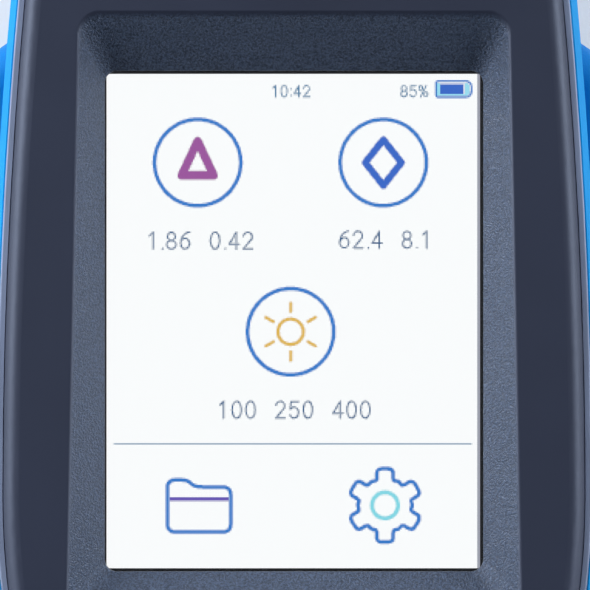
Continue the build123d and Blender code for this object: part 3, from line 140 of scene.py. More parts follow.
class Surface(Nodes):
    """A material under construction."""

    def __init__(self, name):
        self.mat = bpy.data.materials.new(name)
        self.mat.use_nodes = True
        super().__init__(self.mat.node_tree)
        self.bsdf = self.tree.nodes["Principled BSDF"]
        self.place = self.node("ShaderNodeTexCoord").outputs["Object"]

    def set(self, **values):
        for key, value in values.items():
            self.fill(self.bsdf.inputs[key.replace("_", " ")], value)

    def noise(self, size, detail=3.0, roughness=0.55):
        """Cloudy noise whose cells are about size metres across."""
        made = self.node("ShaderNodeTexNoise")
        for key, value in (("Scale", 1 / size), ("Detail", detail), ("Roughness", roughness)):
            made.inputs[key].default_value = value
        self.link(self.place, made.inputs["Vector"])
        return made.outputs[0]

    def cloud(self, low, high, size, detail=3.0, roughness=0.55):
        """Cloudy noise that mostly stays between low and high."""
        return self.ramp(self.noise(size, detail, roughness), 0.3, 0.7, low, high)

    def flow(self, size):
        """Slow mottling from 0 to 1, as plastic shows where it ran into its mould."""
        return self.ramp(self.noise(size, detail=2.0), 0.35, 0.65, 0.0, 1.0)

    def cells(self, size):
        made = self.node("ShaderNodeTexVoronoi", feature="F1")
        made.inputs["Scale"].default_value = 1 / size
        self.link(self.place, made.inputs["Vector"])
        return made.outputs["Distance"]

    def bump(self, height, distance, strength=1.0, under=None):
        made = self.node("ShaderNodeBump")
        for key, value in (("Height", height), ("Distance", distance), ("Strength", strength)):
            self.fill(made.inputs[key], value)
        if under is not None:
            self.link(under, made.inputs["Normal"])
        return made.outputs["Normal"]

    def colour(self, socket):
        self.link(socket, self.bsdf.inputs["Base Color"])

    def rough(self, socket):
        self.link(socket, self.bsdf.inputs["Roughness"])

    def normal(self, socket):
        self.link(socket, self.bsdf.inputs["Normal"])


# ---------------------------------------------------------------------------
# Materials
# ---------------------------------------------------------------------------
COOL = (0.70, 0.79, 1.0)
DEEP_COOL = (0.30, 0.68, 1.0)

# The cover's grained part, whose colour is also made lighter there as painted light, in metres: its reach
# across and along the face, the heights between which it sets in, and the width of its soft edge
GRAIN_AND_PAINTED_LIGHT_ACROSS = 0.0340
GRAIN_AND_PAINTED_LIGHT_ALONG = 0.0460
GRAIN_AND_PAINTED_LIGHT_START = -0.0001
GRAIN_AND_PAINTED_LIGHT_FULL = -0.0005
GRAIN_AND_PAINTED_LIGHT_EDGE = 0.0005


def plastic(name, colour, rough, grain, depth, spread=0.08, **more):
    """Moulded plastic: fine spark-eroded grain, faint flow mottling, and handling marks in its gloss."""
    m = Surface(name)
    m.set(**more)
    m.colour(m.mix(m.flow(size=0.02), shade(colour, 1 - spread), shade(colour, 1 + spread)))
    m.rough(m.cloud(rough - 0.04, rough + 0.05, size=0.006, detail=4.0, roughness=0.65))
    m.normal(m.bump(m.noise(grain, detail=2.0, roughness=0.6), depth))
    return m


def cover_material():
    """Dark satin cover: smooth on the face, grained on the recess's sloping walls, whose colour is lighter
    than the face as painted light.
    """
    m = Surface("cover_plastic")
    base = srgb(34, 39, 57)
    offset = m.vector("SUBTRACT", m.place, tuple(FACE_O))
    height = m.vector("DOT_PRODUCT", offset, tuple(FACE_N))
    across = m.math("ABSOLUTE", m.vector("DOT_PRODUCT", offset, (1, 0, 0)))
    along = m.math("ABSOLUTE", m.vector("DOT_PRODUCT", offset, tuple(FACE_U)))
    recess = m.ramp(height, GRAIN_AND_PAINTED_LIGHT_START, GRAIN_AND_PAINTED_LIGHT_FULL, 0.0, 1.0)
    for distance, reach in ((across, GRAIN_AND_PAINTED_LIGHT_ACROSS), (along, GRAIN_AND_PAINTED_LIGHT_ALONG)):
        recess = m.math("MULTIPLY", recess, m.ramp(distance, reach, reach + GRAIN_AND_PAINTED_LIGHT_EDGE, 1.0, 0.0))
    speck = m.ramp(m.noise(size=0.00032, detail=2.0, roughness=0.8), 0.38, 0.66, 0.0, 1.0)
    smooth = m.mix(m.flow(size=0.03), shade(base, 0.93), shade(base, 1.08))
    # Painted light: the walls' speckle runs from a little darker to much lighter than the face, so the
    # walls show lighter on average, standing in for the light they catch; the speckle pattern itself is
    # the grain
    speckle_and_painted_light = m.mix(speck, srgb(24, 32, 46), srgb(66, 82, 108))
    m.colour(m.mix(recess, smooth, speckle_and_painted_light))
    marks = m.cloud(0.50, 0.53, size=0.008, detail=4.0, roughness=0.65)
    m.rough(m.math("ADD", marks, m.math("MULTIPLY", recess, -0.13)))
    m.set(Specular_Tint=COOL, Specular_IOR_Level=0.8)
    fine = m.bump(m.noise(size=0.00016, detail=2.0, roughness=0.6), distance=0.000012, strength=0.6)
    m.normal(m.bump(speck, distance=0.00007, strength=recess, under=fine))
    return m


def metal(name, colour, rough, turned=None):
    """Metal with fine machining or plating marks. turned is the middle of its turned rings, in metres."""
    m = Surface(name)
    m.set(Metallic=1.0)
    cloud = m.cloud(0.0, 1.0, size=0.004, detail=4.0, roughness=0.6)
    m.colour(m.mix(cloud, shade(colour, 0.92), shade(colour, 1.05)))
    m.rough(m.cloud(rough - 0.06, rough + 0.08, size=0.0015, detail=4.0, roughness=0.7))
    if turned is None:
        m.normal(m.bump(m.noise(size=0.0004, detail=2.0, roughness=0.5), distance=0.00001))
    else:
        wave = m.node("ShaderNodeTexWave", wave_type="RINGS", rings_direction="Z")
        wave.inputs["Scale"].default_value = 1600
        wave.inputs["Distortion"].default_value = 0.4
        m.link(m.vector("SUBTRACT", m.place, turned), wave.inputs["Vector"])
        m.normal(m.bump(wave.outputs[1], distance=0.000012))
    return m


def foam_material():
    m = Surface("foam")
    m.set(Roughness=0.95)
    pores = m.cells(size=0.0004)
    m.colour(m.mix(m.ramp(pores, 0.1, 0.6, 0.0, 1.0), srgb(20, 20, 22), srgb(46, 46, 50)))
    m.normal(m.bump(pores, distance=0.0001))
    return m


def board_material():
    """Green solder mask with fine copper tracks under it."""
    m = Surface("circuit_board")
    brick = m.node("ShaderNodeTexBrick")
    brick.inputs["Scale"].default_value = 140
    brick.inputs["Mortar Size"].default_value = 0.03
    m.link(m.place, brick.inputs["Vector"])
    tracks = brick.outputs["Fac"]
    m.colour(m.mix(tracks, srgb(14, 74, 46), srgb(40, 112, 70)))
    m.rough(m.cloud(0.28, 0.4, size=0.002))
    m.normal(m.bump(tracks, distance=0.00003))
    return m


def glass_material():
    """Clear glass with an anti-reflection coating, so it mirrors less than bare glass."""
    m = Surface("clear_glass")
    m.set(Base_Color=(0.96, 0.98, 0.98), Transmission_Weight=1.0, IOR=1.46, Specular_IOR_Level=0.15)
    m.rough(m.cloud(0.0, 0.03, size=0.01))
    return m


def led_material():
    m = Surface("led_epoxy")
    m.set(Transmission_Weight=0.6, IOR=1.5)
    m.colour(m.mix(m.cloud(0.0, 1.0, size=0.001), (0.9, 0.88, 0.7), (0.96, 0.95, 0.88)))
    m.rough(m.cloud(0.05, 0.12, size=0.002))
    return m


def floor_material():
    """Pale paper. What the camera and reflections see of it is half its own light, half an even tone."""
    m = Surface("floor_paper")
    m.set(Roughness=0.9)
    m.colour(m.mix(m.cloud(0.0, 1.0, size=0.25), (0.742, 0.732, 0.712), (0.758, 0.748, 0.728)))
    m.normal(m.bump(m.noise(size=0.0008, detail=2.0), distance=0.00004))
    rays = m.node("ShaderNodeLightPath").outputs
    seen = m.math("ADD", rays["Is Camera Ray"], rays["Is Glossy Ray"])
    seen = m.math("ADD", seen, rays["Is Transmission Ray"], clamp=True)
    tone = m.node("ShaderNodeEmission")
    m.fill(tone.inputs["Color"], (0.75, 0.80, 0.90))
    paper = m.either(m.math("MULTIPLY", seen, 0.5), m.bsdf.outputs[0], tone.outputs[0])
    m.link(paper, m.tree.nodes["Material Output"].inputs["Surface"])
    return m


stage_low, stage_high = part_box("sample_stage")
glass = glass_material()
MATERIALS = {
    "cover": cover_material(),
    "trim": plastic(
        "trim_plastic", srgb(136, 148, 176), rough=0.42, grain=0.0003, depth=0.000012,
        Specular_Tint=COOL,
    ),
    "shell_blue": plastic(
        "shell_plastic", srgb(0, 138, 208), rough=0.42, grain=0.00035, depth=0.000015, spread=0.05,
        Specular_Tint=DEEP_COOL, Specular_IOR_Level=0.4,
    ),
    "grip_blue": plastic(
        "grip_rubber", srgb(0, 112, 186), rough=0.58, grain=0.0005, depth=0.00005, spread=0.06,
        Specular_Tint=DEEP_COOL, Specular_IOR_Level=0.3,
    ),
    "display_black": plastic("display_black", srgb(10, 12, 18), rough=0.45, grain=0.0004, depth=0.00001),
    "display_cell": plastic("display_cell_glass", srgb(9, 9, 12), rough=0.18, grain=0.002, depth=0.000002),
    "key": plastic("key_rubber", srgb(0, 118, 200), rough=0.48, grain=0.0005, depth=0.00004, spread=0.06),
    "steel": metal("zinc_plated_steel", (0.56, 0.57, 0.58), rough=0.32),
    "aluminium": metal(
        "turned_aluminium", (0.62, 0.63, 0.65), rough=0.34, turned=tuple((stage_low + stage_high) / 2)
    ),
    "board": board_material(),
    "chip": plastic("chip_epoxy", srgb(24, 24, 26), rough=0.6, grain=0.0003, depth=0.00002),
    "contact": metal("gold_contact", (0.83, 0.62, 0.26), rough=0.25),
    "foam": foam_material(),
    "optics_black": plastic("optics_black", srgb(16, 16, 18), rough=0.8, grain=0.0004, depth=0.00004),
    "ceramic": plastic(
        "white_ceramic", srgb(236, 236, 232), rough=0.12, grain=0.001, depth=0.000003, spread=0.015
    ),
    "battery": plastic("battery_wrap", srgb(40, 70, 120), rough=0.35, grain=0.001, depth=0.00002),
    "feet": plastic("foot_rubber", srgb(30, 31, 34), rough=0.75, grain=0.0006, depth=0.00006),
    "lens_glass": glass,
    "touch_glass": glass,
    "led": led_material(),
}

for name, node in NODES.items():
    for holder in node.material_slots:
        holder.material = MATERIALS[SLOT_OF[name]].mat


# ---------------------------------------------------------------------------
# Pieces
# ---------------------------------------------------------------------------
def piece(name, vertices, faces, body, materials, indices=None):
    """A mesh piece in the row frame that rides on a body."""
    mesh = bpy.data.meshes.new(name)
    mesh.from_pydata([tuple(v) for v in vertices], [], faces)
    mesh.update()
    made = bpy.data.objects.new(name, mesh)
    bpy.context.scene.collection.objects.link(made)
    for material in materials:
        mesh.materials.append(material)
    if indices:
        mesh.polygons.foreach_set("material_index", indices)
    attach(made, body)
    return made


# Touch panel: clear cover glass with ground edges, in millimetres on the face
GLASS_WIDTH = 61
GLASS_HEIGHT = 80
GLASS_CORNER = 1.5
# How far the outline is drawn in at each height
GLASS_LEVELS = ((0.15, -6.72), (0, -6.6), (0, -5.75), (0.15, -5.6))


def rounded(width, height, radius, steps=6):
    """Outline of a rounded rectangle about the origin, counter-clockwise."""
    points = []
    for turn, (sx, sy) in enumerate(((1, -1), (1, 1), (-1, 1), (-1, -1))):
        cx = sx * (width / 2 - radius)
        cy = sy * (height / 2 - radius)
        for step in range(steps + 1):
            angle = math.radians(-90 + 90 * turn + 90 * step / steps)
            points.append((cx + radius * math.cos(angle), cy + radius * math.sin(angle)))
    return points


def glass_loop(inset, n):
    outline = rounded(GLASS_WIDTH - 2 * inset, GLASS_HEIGHT - 2 * inset, GLASS_CORNER - inset)
    return [on_face(x, v, n) for x, v in outline]


def slab(name, loops, body, material):
    """Closed skin through a stack of matching outlines, capped at both ends."""
    count = len(loops[0])
    top = count * (len(loops) - 1)
    vertices = [p for loop in loops for p in loop]
    faces = []
    for start in range(0, top, count):
        for i in range(count):
            j = (i + 1) % count
            faces.append((start + i, start + j, start + count + j, start + count + i))
    faces.append(tuple(reversed(range(count))))
    faces.append(tuple(range(top, top + count)))
    return piece(name, vertices, faces, body, [material])


loops = [glass_loop(inset, n) for inset, n in GLASS_LEVELS]
touch_glass = slab("touch_glass", loops, "base", glass.mat)
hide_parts("touch_panel")

# Screws with crowned heads and cross recesses, where the frame has plain ones
SCREW_SIDES = 28
# Points nearer than this to a screw's first point belong to it
SCREW_REACH = 6 * MM
# The shaft's radius is read in this band at its tip, and the tip narrows to this share of it
TIP_BAND = 0.1 * MM
TIP_SHARE = 0.3
# The seat is read beyond this share of the head's radius
RIM_SHARE = 0.9
# The crown, in steps of so many degrees. Its depth is a share of the head's thickness.
CROWN_STEPS = 5
CROWN_TURN = 18
CROWN_DEPTH = 0.25
CROWN_LIFT = 0.02
CROWN_FLAT = 0.72
# Reach and half width of the cross, as shares of the head's radius, and its depth in the thickness
CROSS_MOUTH = (0.56, 0.13)
CROSS_FLOOR = (0.34, 0.09)
CROSS_DEPTH = 0.6


def circle_points(centre, radius, z):
    x, y = centre
    angles = [math.tau * k / SCREW_SIDES for k in range(SCREW_SIDES)]
    return [Vector((x + radius * math.cos(a), y + radius * math.sin(a), z)) for a in angles]


def cross_points(centre, reach, half_width, z):
    """Outline of the cross recess, twelve corners."""
    corners = []
    for c, s in ((1, 0), (0, 1), (-1, 0), (0, -1)):
        for along, across in ((reach, -half_width), (reach, half_width), (half_width, half_width)):
            x = centre[0] + along * c - across * s
            y = centre[1] + along * s + across * c
            corners.append(Vector((x, y, z)))
    return corners


def add_loop(mesh, points):
    return [mesh.verts.new(p) for p in points]


def add_band(mesh, lower, upper):
    for k in range(len(lower)):
        j = (k + 1) % len(lower)
        mesh.faces.new((lower[k], lower[j], upper[j], upper[k]))


def add_screw(mesh, points):
    """A closed screw whose head looks down, sized by the points of the plain one."""
    centre = [(min(p[k] for p in points) + max(p[k] for p in points)) / 2 for k in (0, 1)]
    face = min(p.z for p in points)
    tip = max(p.z for p in points)
    head = max((p.xy - Vector(centre)).length for p in points)
    shaft = max((p.xy - Vector(centre)).length for p in points if p.z > tip - TIP_BAND)
    seat = max(p.z for p in points if (p.xy - Vector(centre)).length > RIM_SHARE * head)
    crown = CROWN_DEPTH * (seat - face)
    profile = [(TIP_SHARE * shaft, tip), (shaft, tip - shaft), (shaft, seat), (head, seat)]
    for step in range(CROWN_STEPS):
        turn = math.radians(CROWN_TURN * step)
        radius = head * (CROWN_FLAT + (1 - CROWN_FLAT) * math.cos(turn))
        profile.append((radius, face + crown * (1 - math.sin(turn)) + CROWN_LIFT * crown))
    loops = [add_loop(mesh, circle_points(centre, radius, z)) for radius, z in profile]
    mesh.faces.new(loops[0])
    for lower, upper in zip(loops, loops[1:]):
        add_band(mesh, lower, upper)
    reach, half_width = CROSS_MOUTH
    mouth = add_loop(mesh, cross_points(centre, reach * head, half_width * head, profile[-1][1]))
    reach, half_width = CROSS_FLOOR
    depth = face + CROSS_DEPTH * (seat - face)
    floor = add_loop(mesh, cross_points(centre, reach * head, half_width * head, depth))
    add_band(mesh, mouth, floor)
    mesh.faces.new(floor)
    rims = []
    for loop in (loops[-1], mouth):
        rims += [mesh.edges.get(pair) for pair in zip(loop, loop[1:] + loop[:1])]
    bmesh.ops.triangle_fill(mesh, edges=rims, use_beauty=True)


def cross_screws(name, node, body):
    """Screws each where the frame's node has one."""
    groups = []
    for vertex in NODES[node].data.vertices:
        point = vertex.co.copy()
        group = next((g for g in groups if (g[0].xy - point.xy).length < SCREW_REACH), None)
        if group is None:
            groups.append([point])
        else:
            group.append(point)
    mesh = bmesh.new()
    for group in groups:
        add_screw(mesh, group)
    bmesh.ops.recalc_face_normals(mesh, faces=mesh.faces)
    data = bpy.data.meshes.new(name)
    mesh.to_mesh(data)
    mesh.free()
    made = bpy.data.objects.new(name, data)
    bpy.context.scene.collection.objects.link(made)
    data.materials.append(MATERIALS["steel"].mat)
    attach(made, body)
    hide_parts(node)


cross_screws("case_cross_screws", "case_screws", "base")
cross_screws("door_cross_screws", "door_screws", "base")
cross_screws("liner_cross_screws", "liner_screws", "lid")

# Gold contacts on both sides of the socket's tongue, in millimetres
CONTACTS = 12
CONTACT_PITCH = 0.5
CONTACT_HALF_WIDTH = 0.13
# Their outline from the side: place along the socket from its mouth, and height over the tongue
CONTACT_PROFILE = ((-0.5, 0.0), (-0.7, 0.03), (-3.4, 0.03), (-3.4, 0.0))
CONTACT_FACES = ((0, 1, 3, 2), (2, 3, 5, 4), (4, 5, 7, 6), (6, 7, 1, 0), (0, 2, 4, 6), (1, 7, 5, 3))
TONGUE_HALF_HEIGHT = 0.35


def usb_contacts():
    """Flat bars with a sloping nose, side by side on the tongue's upper and lower face."""
    low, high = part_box("usb_socket")
    middle = (low + high) / 2
    vertices, faces = [], []
    for side in (-1, 1):
        z = middle.z + side * TONGUE_HALF_HEIGHT * MM
        for k in range(CONTACTS):
            x = middle.x + (k - (CONTACTS - 1) / 2) * CONTACT_PITCH * MM
            start = len(vertices)
            for dy, dz in CONTACT_PROFILE:
                for dx in (-CONTACT_HALF_WIDTH, CONTACT_HALF_WIDTH):
                    vertices.append(Vector((x + dx * MM, high.y + dy * MM, z + side * dz * MM)))
            for face in CONTACT_FACES:
                faces.append([start + i for i in (face if side > 0 else face[::-1])])
    piece("usb_contacts", vertices, faces, "base", [MATERIALS["contact"].mat])


usb_contacts()

# ---------------------------------------------------------------------------
# The lit display: 240 by 320 dots of 0.2235 mm, counted from the upper left
# ---------------------------------------------------------------------------
COLUMNS, ROWS = 240, 320
LIT_WIDTH = 53.64
DOT = LIT_WIDTH / COLUMNS
SHIFT = -0.3
PAINTED_HIGHLIGHT_DOTS = 1.8
INK_STEPS = 4
# Heights over the face, below it and each a hair above the last
LIT_LEVEL = -6.785
PALE_LEVEL = -6.775
INK_LEVEL = -6.77
# A whole number of dots, added so that the count is positive all over the display
COUNT_START = 1000
# A dark line starts this far from the middle between two lines, where half a dot is its own middle.
# It takes this share of the colour, and this shade of it.
LINE_START = 0.40
LINE_SHARE = 0.16
LINE_SHADE = 0.45


def dot_point(column, row, n):
    """The place of a corner of the dot grid, counted from the display's upper left."""
    return on_face((column - COLUMNS / 2) * DOT + SHIFT, (ROWS / 2 - row) * DOT, n)


def dot_box(left, top, right, bottom, n):
    """The corners of a box of dots, counter-clockwise."""
    corners = ((left, bottom), (right, bottom), (right, top), (left, top))
    return [dot_point(*corner, n) for corner in corners]


def lit(name, colour, strength=1.0):
    """A lit colour on the display, with faint dark lines at the pitch of its dots."""
    m = Surface(name)
    m.set(Base_Color=(0.0, 0.0, 0.0), Roughness=0.3, Emission_Strength=strength)
    dots_per_metre = 1 / (DOT * MM)
    across = m.vector("DOT_PRODUCT", m.place, (dots_per_metre, 0, 0))
    up = m.vector("DOT_PRODUCT", m.place, tuple(FACE_U * dots_per_metre))
    edges = []
    for value, offset in (
        (across, 0.5 - SHIFT / DOT + COUNT_START),
        (up, COUNT_START - FACE_O.dot(FACE_U) * dots_per_metre),
    ):
        part = m.math("FRACT", m.math("ADD", value, offset))
        edge = m.math("ABSOLUTE", m.math("SUBTRACT", part, 0.5))
        edges.append(m.ramp(edge, LINE_START, 0.5, 0.0, 1.0))
    lines = m.math("MULTIPLY", m.math("MAXIMUM", *edges), LINE_SHARE)
    m.link(m.mix(lines, colour, shade(colour, LINE_SHADE)), m.bsdf.inputs["Emission Color"])
    return m.mat


def inks(name, colour):
    """The steps from the white background to a full colour."""
    made = []
    for level in range(1, INK_STEPS + 1):
        step = tuple(1 - (1 - c) * level / INK_STEPS for c in colour)
        made.append(lit(f"{name}_{level}", step))
    return made


def lit_box(name, left, right, material):
    """A plain lit stretch of the display, over its full height."""
    corners = dot_box(left, 0, right, ROWS, LIT_LEVEL)
    piece(name, corners, [(0, 1, 2, 3)], "base", [material])


lit_box("display_backlight", 0, COLUMNS, lit("display_white", (0.995, 0.995, 1.0), 1.06))
# A dim glowing strip beside the lit area's right side only: a painted highlight for the light on the
# window's edge, not the display's own light
lit_box("display_painted_edge_highlight", COLUMNS, COLUMNS + PAINTED_HIGHLIGHT_DOTS, lit("display_edge_painted_highlight", (0.36, 0.37, 0.44)))


def draw(name, box, distance, ink, n=INK_LEVEL):
    """Light the dots that a shape covers. distance says how far outside it a point lies, in dots."""
    vertices, faces, indices = [], [], []
    left, top, right, bottom = (math.floor(b) for b in box)
    for row in range(max(0, top - 2), min(ROWS, bottom + 3)):
        start, level = 0, 0
        for column in range(max(0, left - 2), min(COLUMNS, right + 4)):
            cover = 0.5 - distance(column + 0.5, row + 0.5)
            next_level = max(0, min(INK_STEPS, round(cover * INK_STEPS)))
            if next_level == level:
                continue
            if level:
                faces.append(tuple(range(len(vertices), len(vertices) + 4)))
                vertices += dot_box(start, row, column, row + 1, n)
                indices.append(level - 1)
            start, level = column, next_level
    piece(name, vertices, faces, "base", ink, indices)


# Distances of a point from a shape, in dots
def to_segment(x, y, a, b):
    """Distance to the line from a to b, which may be a single point."""
    dx, dy = b[0] - a[0], b[1] - a[1]
    length = dx * dx + dy * dy
    t = 0 if length == 0 else max(0, min(1, ((x - a[0]) * dx + (y - a[1]) * dy) / length))
    return math.hypot(x - a[0] - t * dx, y - a[1] - t * dy)


def strokes(lines, width):
    """Distance to a set of open lines drawn with a round pen."""
    segments = [pair for line in lines for pair in zip(line, line[1:])]
    return lambda x, y: min(to_segment(x, y, a, b) for a, b in segments) - width / 2


def ring(centre, radius, width):
    return lambda x, y: abs(math.hypot(x - centre[0], y - centre[1]) - radius) - width / 2


def block(centre, half_width, half_height):
    return lambda x, y: max(abs(x - centre[0]) - half_width, abs(y - centre[1]) - half_height)


# Outlines, in dots
def closed(points):
    return points + points[:1]


def polar(centre, radius, degrees):
    angle = math.radians(degrees)
    return (centre[0] + radius * math.cos(angle), centre[1] + radius * math.sin(angle))


def softened(points, radius, steps=5):
    """A closed outline with each corner rounded, no further than half a side."""
    result = []
    for before, corner, after in zip(points[-1:] + points[:-1], points, points[1:] + points[:1]):
        ends = []
        for other in (before, after):
            length = math.dist(corner, other)
            share = min(radius, length / 2) / length
            ends.append([c + (o - c) * share for c, o in zip(corner, other)])
        for k in range(steps + 1):
            t = k / steps
            spans = zip(ends[0], corner, ends[1])
            result.append(tuple((1 - t) ** 2 * a + 2 * t * (1 - t) * c + t * t * b for a, c, b in spans))
    return result


def arc(cx, cy, rx, ry, start, end, steps=8):
    angles = [math.radians(start + (end - start) * k / steps) for k in range(steps + 1)]
    return [(cx + rx * math.cos(angle), cy + ry * math.sin(angle)) for angle in angles]


def box_of(lines, pad=2):
    xs = [p[0] for line in lines for p in line]
    ys = [p[1] for line in lines for p in line]
    return (min(xs) - pad, min(ys) - pad, max(xs) + pad, max(ys) + pad)


def box_about(centre, reach):
    return (centre[0] - reach, centre[1] - reach, centre[0] + reach, centre[1] + reach)


def pen(name, lines, width, ink, pad=2):
    """Draw open lines with a round pen."""
    draw(name, box_of(lines, pad), strokes(lines, width), ink)


BLUE = inks("display_blue", srgb(44, 122, 208))
PURPLE = inks("display_purple", srgb(160, 84, 160))
DEEP = inks("display_deep_blue", srgb(52, 104, 205))
GOLD = inks("display_gold", srgb(232, 186, 80))
VIOLET = inks("display_violet", srgb(104, 84, 184))
PALE = inks("display_pale", srgb(158, 226, 246))
CYAN = inks("display_cyan", srgb(132, 222, 236))
SLATE = inks("display_slate", srgb(84, 130, 168))
TEAL = inks("display_teal", srgb(36, 88, 136))

# Three round menu symbols: an outlined triangle, an outlined lozenge, and a sun with its rays
OUTLINE_PEN = 2.5
MENU_RADIUS = 27.9
MENU_REACH = 31
MENU_LEFT = (59.0, 57.4)
MENU_RIGHT = (179.2, 57.4)
MENU_MIDDLE = (119.2, 166.9)
TRIANGLE_PEN = 5.6
LOZENGE_PEN = 4.6
SUN_RADIUS = 8.2
SUN_REACH = 11.5
SUN_PEN = 2.2
RAYS = 6
RAY_ENDS = (13.0, 18.5)
RAY_TURN = 30
RAY_PEN = 2.0
for side, middle in (("left", MENU_LEFT), ("right", MENU_RIGHT), ("middle", MENU_MIDDLE)):
    outline = ring(middle, MENU_RADIUS, OUTLINE_PEN)
    draw(f"display_ring_{side}", box_about(middle, MENU_REACH), outline, BLUE)

triangle = [(59.0, 43.5), (69.3, 65.6), (48.7, 65.6)]
lozenge = [(179.2, 42.6), (190.9, 57.4), (179.2, 72.2), (167.5, 57.4)]
pen("display_triangle", [closed(triangle)], TRIANGLE_PEN, PURPLE, pad=4)
pen("display_lozenge", [closed(lozenge)], LOZENGE_PEN, DEEP, pad=4)
draw("display_sun", box_about(MENU_MIDDLE, SUN_REACH), ring(MENU_MIDDLE, SUN_RADIUS, SUN_PEN), GOLD)
rays = []
for k in range(RAYS):
    rays.append([polar(MENU_MIDDLE, radius, 360 / RAYS * k + RAY_TURN) for radius in RAY_ENDS])
pen("display_rays", rays, RAY_PEN, GOLD)

# Plain numerals drawn in a cell 6 wide and 10 high
GLYPH_HEIGHT = 10
GLYPHS = {
    "0": [arc(3, 5, 2.6, 4.8, 0, 360, 20)],
    "1": [[(1.4, 2.2), (3.4, 0.3), (3.4, 9.8)]],
    "2": [arc(3, 2.9, 2.5, 2.7, -170, 20, 10) + [(0.5, 9.7), (5.6, 9.7)]],
    "4": [[(4.3, 9.8), (4.3, 0.3), (0.3, 7.0), (5.8, 7.0)]],
    "5": [[(5.2, 0.4), (1.2, 0.4), (0.8, 4.6)] + arc(2.9, 6.6, 2.6, 3.1, -130, 150, 12)],
    "6": [arc(3, 6.7, 2.5, 3.0, 0, 360, 16), arc(5.6, 6.6, 5.1, 6.4, 180, 268, 8)],
    "8": [arc(3, 2.6, 2.2, 2.3, 0, 360, 14), arc(3, 7.3, 2.6, 2.4, 0, 360, 16)],
    ".": [[(1.0, 9.5), (1.0, 9.7)]],
    ":": [[(1.0, 3.0), (1.0, 3.2)], [(1.0, 8.6), (1.0, 8.8)]],
    "%": [
        arc(1.7, 2.4, 1.5, 2.0, 0, 360, 12),
        arc(6.0, 7.6, 1.5, 2.0, 0, 360, 12),
        [(6.2, 0.4), (1.5, 9.7)],
    ],
    " ": [],
}
ADVANCE = {".": 3.0, ":": 3.4, "%": 9.4, " ": 4.6}
NUMERAL_ADVANCE = 7.8


def numerals(name, text, centre, height, width, ink):
    """A line of plain numerals centred on a point of the display, drawn with a pen of that width."""
    scale = height / GLYPH_HEIGHT
    x = centre[0] - sum(ADVANCE.get(c, NUMERAL_ADVANCE) for c in text) * scale / 2
    y = centre[1] - height / 2
    lines = []
    for c in text:
        for line in GLYPHS[c]:
            lines.append([(x + px * scale, y + py * scale) for px, py in line])
        x += ADVANCE.get(c, NUMERAL_ADVANCE) * scale
    pen(name, lines, width, ink, pad=1)


STATUS_HEIGHT = 7.6
STATUS_PEN = 0.9
LABEL_HEIGHT = 11.4
LABEL_PEN = 1.0
numerals("display_clock", "10:42", (120.0, 11.2), STATUS_HEIGHT, STATUS_PEN, SLATE)
numerals("display_charge", "85%", (199.8, 11.2), STATUS_HEIGHT, STATUS_PEN, SLATE)
numerals("display_label_left", "1.86  0.42", (61.6, 107.9), LABEL_HEIGHT, LABEL_PEN, TEAL)
numerals("display_label_right", "62.4  8.1", (181.4, 107.3), LABEL_HEIGHT, LABEL_PEN, TEAL)
numerals("display_label_middle", "100  250  400", (122.5, 217.4), LABEL_HEIGHT, LABEL_PEN, TEAL)

# Battery symbol: a pale body, its outline, and the charge in it as middle and half sizes
BODY_MIDDLE = (224.6, 9.8)
BODY_HALF = (10.8, 4.8)
CHARGE_MIDDLE = (223.6, 9.8)
CHARGE_HALF = (7.6, 3.2)
CASE_CORNER = 1.6
CASE_PEN = 1.4
case = [(213.4, 4.6), (234.2, 4.6), (236.4, 7.4), (236.4, 12.2), (234.2, 15.0), (213.4, 15.0)]
draw("display_cell_body", (213, 4, 237, 16), block(BODY_MIDDLE, *BODY_HALF), PALE, PALE_LEVEL)
pen("display_cell_outline", [closed(softened(case, CASE_CORNER))], CASE_PEN, BLUE)
draw("display_cell_charge", (215, 6, 233, 14), block(CHARGE_MIDDLE, *CHARGE_HALF), DEEP)

# Rule, and the folder with its line
RULE_ROW = 239.5
RULE_PEN = 0.6
FOLDER_CORNER = 5.5
FOLDER_LINE_ROW = 275.2
FOLDER_LINE_PEN = 2.4
folder = [(39.4, 262.8), (52.8, 262.8), (56.6, 267.4), (80.5, 267.4), (80.5, 296.6), (39.4, 296.6)]
pen("display_rule", [[(5.0, RULE_ROW), (236.0, RULE_ROW)]], RULE_PEN, SLATE)
pen("display_folder", [closed(softened(folder, FOLDER_CORNER))], OUTLINE_PEN, BLUE)
pen("display_folder_line", [[(41.5, FOLDER_LINE_ROW), (78.5, FOLDER_LINE_ROW)]], FOLDER_LINE_PEN, VIOLET)

# Gear. A tooth runs from the valley before it to the foot behind it, as radius and degrees.
GEAR_MIDDLE = (180.3, 279.3)
GEAR_CORNER = 4.0
TEETH = 6
TOOTH = ((18.0, -30.0), (16.6, -17.0), (24.4, -13.5), (24.4, 13.5), (16.6, 17.0))
HUB_RADIUS = 8.4
HUB_REACH = 11.5
HUB_PEN = 2.6
gear = []
for tooth in range(TEETH):
    middle = 90 + 360 / TEETH * tooth
    gear += [polar(GEAR_MIDDLE, radius, middle + spread) for radius, spread in TOOTH]
pen("display_gear", [closed(softened(gear, GEAR_CORNER))], OUTLINE_PEN, BLUE)
draw("display_gear_hub", box_about(GEAR_MIDDLE, HUB_REACH), ring(GEAR_MIDDLE, HUB_RADIUS, HUB_PEN), CYAN)

# ---------------------------------------------------------------------------
# Floor, light and camera
# ---------------------------------------------------------------------------
FLOOR_REACH = 4
scene = bpy.context.scene
floor = bpy.data.objects.new("floor", bpy.data.meshes.new("floor"))
corners = [(x * FLOOR_REACH, y * FLOOR_REACH, 0) for x, y in ((-1, -1), (1, -1), (1, 1), (-1, 1))]
floor.data.from_pydata(corners, [], [(0, 1, 2, 3)])
floor.data.materials.append(floor_material().mat)
scene.collection.objects.link(floor)


